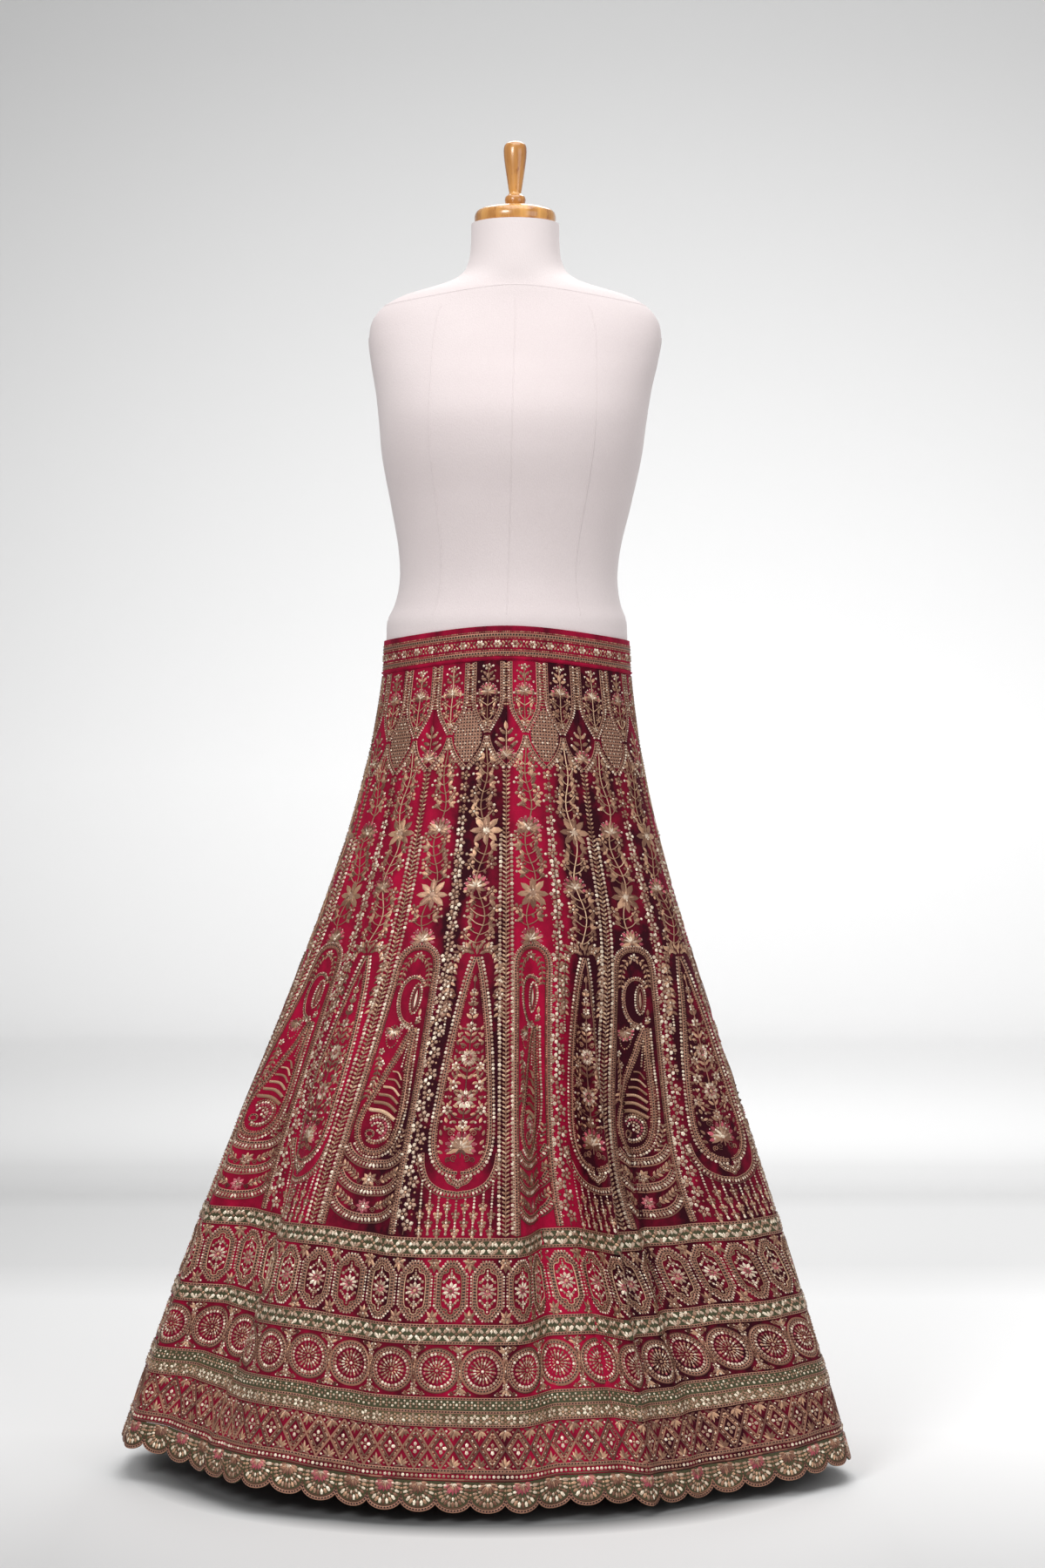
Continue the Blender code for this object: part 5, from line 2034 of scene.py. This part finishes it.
@dataclass
class FormBody(Surface):
    """The form's covered body: level 0 is the top of its neck."""

    # height, half width, half depth, and its middle in x and y
    rows: tuple = mm((800, 118, 88, 0, 0), (806, 133, 100, 0, 0), (826, 142, 107, 0, 0),
        (870, 146.2, 110.4, 0, -1), (925, 145.4, 110, 0, -1), (995, 143.3, 107.9, 0, -1),
        (1018, 134.5, 101, 1, -1), (1045, 129.5, 96.5, 2, -1), (1080, 131, 98.5, 3, -2),
        (1140, 143, 109.5, 5, -5), (1195, 154, 120, 6, -10), (1235, 158.5, 119.5, 7, -10),
        (1275, 164, 108, 8, -4), (1310, 171, 93, 9, 1), (1340, 174.5, 80, 10, 4), (1362, 169, 71, 10, 6),
        (1378, 154, 66, 10, 8), (1390, 130, 62, 10, 8), (1398, 101, 59, 10, 8), (1405, 79, 57.5, 10, 7),
        (1414, 64, 56, 10, 5), (1428, 56, 54, 10, 3), (1448, 53, 52.5, 10, 2), (1473, 52.5, 52.5, 10, 2))
    straight: int = 4             # the row where the waistband's straight stretch starts
    sides: int = 96
    rings: int = 130

    def __post_init__(self) -> None:
        """Work out the body's tables."""
        table = np.array(self.rows)
        slopes = np.diff(table[:, 1:], axis=0) / np.diff(table[:, :1], axis=0)
        tangents = join([slopes[:1], (slopes[1:] + slopes[:-1]) / 2, slopes[-1:]])
        tangents[self.straight:self.straight + 2] = slopes[self.straight]
        bearing = np.linspace(0.0, TURN, 361)
        curves = []
        for z in np.linspace(table[-1, 0], table[0, 0], self.rings):
            i = int(np.clip(np.searchsorted(table[:, 0], z) - 1, 0, len(table) - 2))
            span = table[i + 1, 0] - table[i, 0]
            s = (z - table[i, 0]) / span
            wide, deep, x, y = (table[i, 1:] * (2 * s**3 - 3 * s**2 + 1) + table[i + 1, 1:]
                * (3 * s**2 - 2 * s**3)
                + (tangents[i] * (s**3 - 2 * s**2 + s) + tangents[i + 1] * (s**3 - s**2)) * span)
            reach = oval(bearing, wide, deep)
            curves.append(beside(x + reach * np.sin(bearing), y - reach * np.cos(bearing), z))
        self.tabulate(curves, 0.0, table[-1, 0] - table[0, 0])

    def make(self, look: Material, looks: dict) -> None:
        """Cover the body and sew its seams.

        Args:
            look: the cover's material.
            looks: the material of each finish.
        """
        levels = np.linspace(0.0, self.step * (self.rings - 1), self.rings)
        share, level = (g.ravel() for g in np.meshgrid(np.arange(self.sides) / self.sides, levels))
        points = self.at(share, level, np.zeros(level.size))
        ends = np.array([points[:self.sides].mean(axis=0), points[-self.sides:].mean(axis=0)])
        made = capped("covered_form", points, self.sides, ends, look)
        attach(made, "root")
        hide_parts("form_torso")
        self.seams(look, looks)
        log.info("covered_form: %d faces", len(made.data.polygons))

    def seams(self, look: Material, looks: dict) -> None:
        """Raised seams of the cover: the neck, the middle, the sides and the princess lines.

        Args:
            look: the cover's material.
            looks: the material of each finish.
        """
        work = Needlework("form_seams", self, 0.0)
        for share, start in ((0.0, 0.095), (0.25, 0.135), (0.5, 0.095), (0.75, 0.135), (0.115, 0.105),
                (0.885, 0.105), (0.385, 0.105), (0.615, 0.105)):
            m = Motif(81)
            m.cord(beside(0.0, np.linspace(start, 0.47, 90)), 0.0016, THREAD, 0.0005)
            work.lay(m, [share])
        m = Motif(82)
        turn = np.linspace(-0.5, 0.5, 121)
        level = 0.088 - 0.018 * np.cos(turn * 2 * TURN) * 0.5
        m.cord(beside(turn * self.girth(level), level), 0.0018, THREAD, 0.0006)
        work.lay(m, [0.0])
        made = work.make(looks, "form_cover")
        made.data.materials[0] = look


@dataclass
class Stand:
    """The wooden cap and handle above the form, and the pole and base below it."""

    neck: tuple = (0.01, 0.002, 1.473)
    seam: float = 0.0003
    cap_high: float = 0.02
    pole_radius: float = 0.016
    base_high: float = 0.014
    form_foot: float = 0.8

    def make(self, wood: Material, steel: Material, paint: Material) -> None:
        """Turn the pieces and stand them up.

        Args:
            wood: for the cap and the handle.
            steel: for the pole.
            paint: for the base.
        """
        x, y, top = self.neck
        cap = top + self.seam
        turned("wooden_cap", [(0.0, self.cap_high), (0.012, self.cap_high), (0.03, 0.0198), (0.041, 0.0176),
            (0.0465, 0.0142), (0.0485, 0.0095), (0.0485, 0.0045), (0.0476, 0.0012), (0.045, 0.0),
            (0.02, 0.0), (0.0, 0.0)], (x, y, cap), wood, "neck_cap", "turned_wood")
        handle = mm((0, 79), (4.5, 78.8), (9, 77.5), (12.5, 74.5), (13.8, 69), (13.5, 60), (10.5, 38),
            (7.9, 21), (7.3, 17), (8.8, 15), (11.5, 12.5), (12.5, 9), (11.6, 4.5), (9.8, 1), (8.5, 0),
            (4, 0), (0, 0))
        turned("wooden_handle", handle, (x, y, cap + self.cap_high + self.seam), wood, "finial",
            "turned_wood")
        turned("stand_base", [(0.0, self.base_high), (0.08, self.base_high), (0.168, self.base_high),
            (0.18, 0.0128), (0.1875, 0.0098), (0.19, 0.006), (0.19, 0.0015), (0.1885, 0.0), (0.08, 0.0),
            (0.0, 0.0)], (0.0, 0.0, 0.0), paint, "base", "stand_metal", 96)
        low, high = self.base_high + self.seam, self.form_foot - self.seam
        r = self.pole_radius
        turned("stand_pole", [(0.0, high - low), (r * 0.5, high - low), (r * 0.94, high - low),
            (r, high - low - 0.001), (r, (high - low) / 2), (r, 0.001), (r * 0.94, 0.0), (r * 0.5, 0.0),
            (0.0, 0.0)], (0.0, 0.0, low), steel, "pole", "stand_metal", 48, 2)


# ---- room, light and camera
@dataclass
class Studio:
    """A pale floor that sweeps up into a backdrop, soft lights and the camera."""

    eye: tuple = (0.0187, -3.7, 0.826)
    focal_pixels: float = 3558.0
    image_high: float = 1800.0
    horizon: float = 880.0
    bend: float = 0.8             # the radius between floor and backdrop
    back: float = 6.4
    high: float = 4.8
    wide: float = 9.0             # half the sheet's width, and its reach to the front
    room_light: float = 0.36
    # name, place, aim, side, watts
    lamps: tuple = (("key", (-1.7, -3.3, 2.4), (0.0, 0.0, 0.8), 1.2, 69.0),
        ("fill", (2.8, -2.6, 1.5), (0.0, 0.0, 0.7), 2.2, 24.0),
        ("top", (0.2, -0.6, 3.4), (0.0, 0.2, 0.4), 2.4, 46.0),
        ("back", (0.3, 2.2, 3.4), (0.3, 2.0, 0.0), 2.2, 56.0),
        ("backdrop", (0.05, 2.6, 2.5), (0.05, 6.4, 2.0), 3.4, 90.0))

    def sweep(self) -> None:
        """The floor and the backdrop in one sheet, with painted light and shade in its colour."""
        bend, back = self.bend, self.back
        curve = [(back - bend + bend * math.sin(t), bend - bend * math.cos(t))
            for t in np.linspace(0.0, math.pi / 2, 13)]
        profile = [(-self.wide, 0.0), (-2.0, 0.0), *curve, (back, self.high)]
        points = np.array([(x, y, z) for y, z in profile[::-1] for x in (-self.wide, 0.0, self.wide)])
        look = Look("pale_sweep", 0.9)
        x, y, z = look.parts(look.place())
        # painted light: the wall is painted brightest 0.8 m up, and the floor is painted lighter and darker
        # with its distance
        wall = 0.93 - abs(z - 0.8) * 0.088 - (z - 0.8) * 0.028
        floor = ((1.45 - y) * 2.9).clamp() * 0.13 - ((0.15 - y) * 0.9).clamp() * 0.44 + 0.55
        floor = floor + ((2.7 - y) * 1.6).clamp() * 0.19
        # a painted pool of light towards the middle, then a painted soft oval shadow round the hem
        off, depth = x + 0.027, y - 0.01
        floor = floor * ((1.0 - off * off * 5.0).clamp() * 0.24 + 1.0)
        shade = ((off * off * 7.4 + depth * depth * 8.81 - 1.03) * 2.9).clamp() * 0.74 + 0.26
        lift = ((y - 2.4) * 0.3).clamp()
        # the wall and the floor are both painted lighter towards +x, as painted light from the lamps
        tone = wall * lift * (x * 0.04 + 0.955) + floor * (1.0 - lift) * (x * 0.14 + 1.0) * shade
        material = look.set(Base_Color=tone)
        made = mesh_object("floor_sweep", points, grid_faces(len(profile), 3, False), [material])

    def light(self, name: str, place: tuple, aim: tuple, size: float, power: float) -> None:
        """A soft square light.

        Args:
            name: its name.
            place: where it hangs.
            aim: what it faces.
            size: its side.
            power: its watts.
        """
        lamp = bpy.data.lights.new(name, "AREA")
        lamp.size, lamp.energy = size, power
        made = bpy.data.objects.new(name, lamp)
        made.location = place
        made.visible_camera = False
        way = np.array(aim) - np.array(place)
        made.rotation_euler = (math.acos(-way[2] / np.linalg.norm(way)), 0.0, math.atan2(way[1], way[0])
            - math.pi / 2)
        bpy.context.scene.collection.objects.link(made)

    def make(self) -> None:
        """Set up the room."""
        self.sweep()
        for lamp in self.lamps:
            self.light(*lamp)
        world = bpy.data.worlds.new("studio")
        world.use_nodes = True
        sockets = world.node_tree.nodes["Background"].inputs
        sockets["Color"].default_value, sockets["Strength"].default_value = (1.0,) * 4, self.room_light
        bpy.context.scene.world = world
        bpy.context.scene.view_settings.view_transform = "Standard"
        camera = bpy.data.cameras.new("camera")
        camera.sensor_fit, camera.sensor_height = "VERTICAL", 36.0
        camera.lens = self.focal_pixels / self.image_high * camera.sensor_height
        camera.shift_y = (self.horizon - self.image_high / 2) / self.image_high
        made = bpy.data.objects.new("camera", camera)
        made.location, made.rotation_euler = self.eye, (math.pi / 2, 0.0, 0.0)
        bpy.context.scene.collection.objects.link(made)
        bpy.context.scene.camera = made


def main() -> None:
    """Build everything in order."""
    logging.basicConfig(level=logging.INFO, format="%(name)s: %(message)s")
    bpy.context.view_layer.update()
    cloth, waist = Cloth(), Waist()
    looks = {finish: finish.value.make() for finish in Finish}
    velvet = Velvet().make()
    cover = Cover().make()
    Studio().make()
    Kalis(cloth).make(velvet)
    trims = Trims(cloth, waist)
    trims.bands(Ground("olive_brocade", (0.01, 0.012, 0.004), (0.12, 0.115, 0.042)).make(),
        Ground("gold_brocade", (0.022, 0.018, 0.007), (0.22, 0.17, 0.07)).make())
    trims.edging(Ground("dark_brocade", (0.01, 0.013, 0.004), (0.13, 0.115, 0.042)).make())
    trims.waistband(velvet, WaistWork(waist, looks, velvet))
    Yoke(cloth).make(looks)
    SeamColumns(cloth).make(looks)
    Vines(cloth).make(looks)
    Teardrops(cloth).make(looks)
    Paisleys(cloth).make(looks)
    Borders(cloth, looks).make()
    FormBody().make(cover, looks)
    Stand().make(Wood().make(), Metal("brushed_steel", (0.62, 0.62, 0.64)).make(),
        Metal("painted_base", (0.4, 0.4, 0.42), (1.0, 1.0, 1.0)).make())


if __name__ == "__main__":
    main()
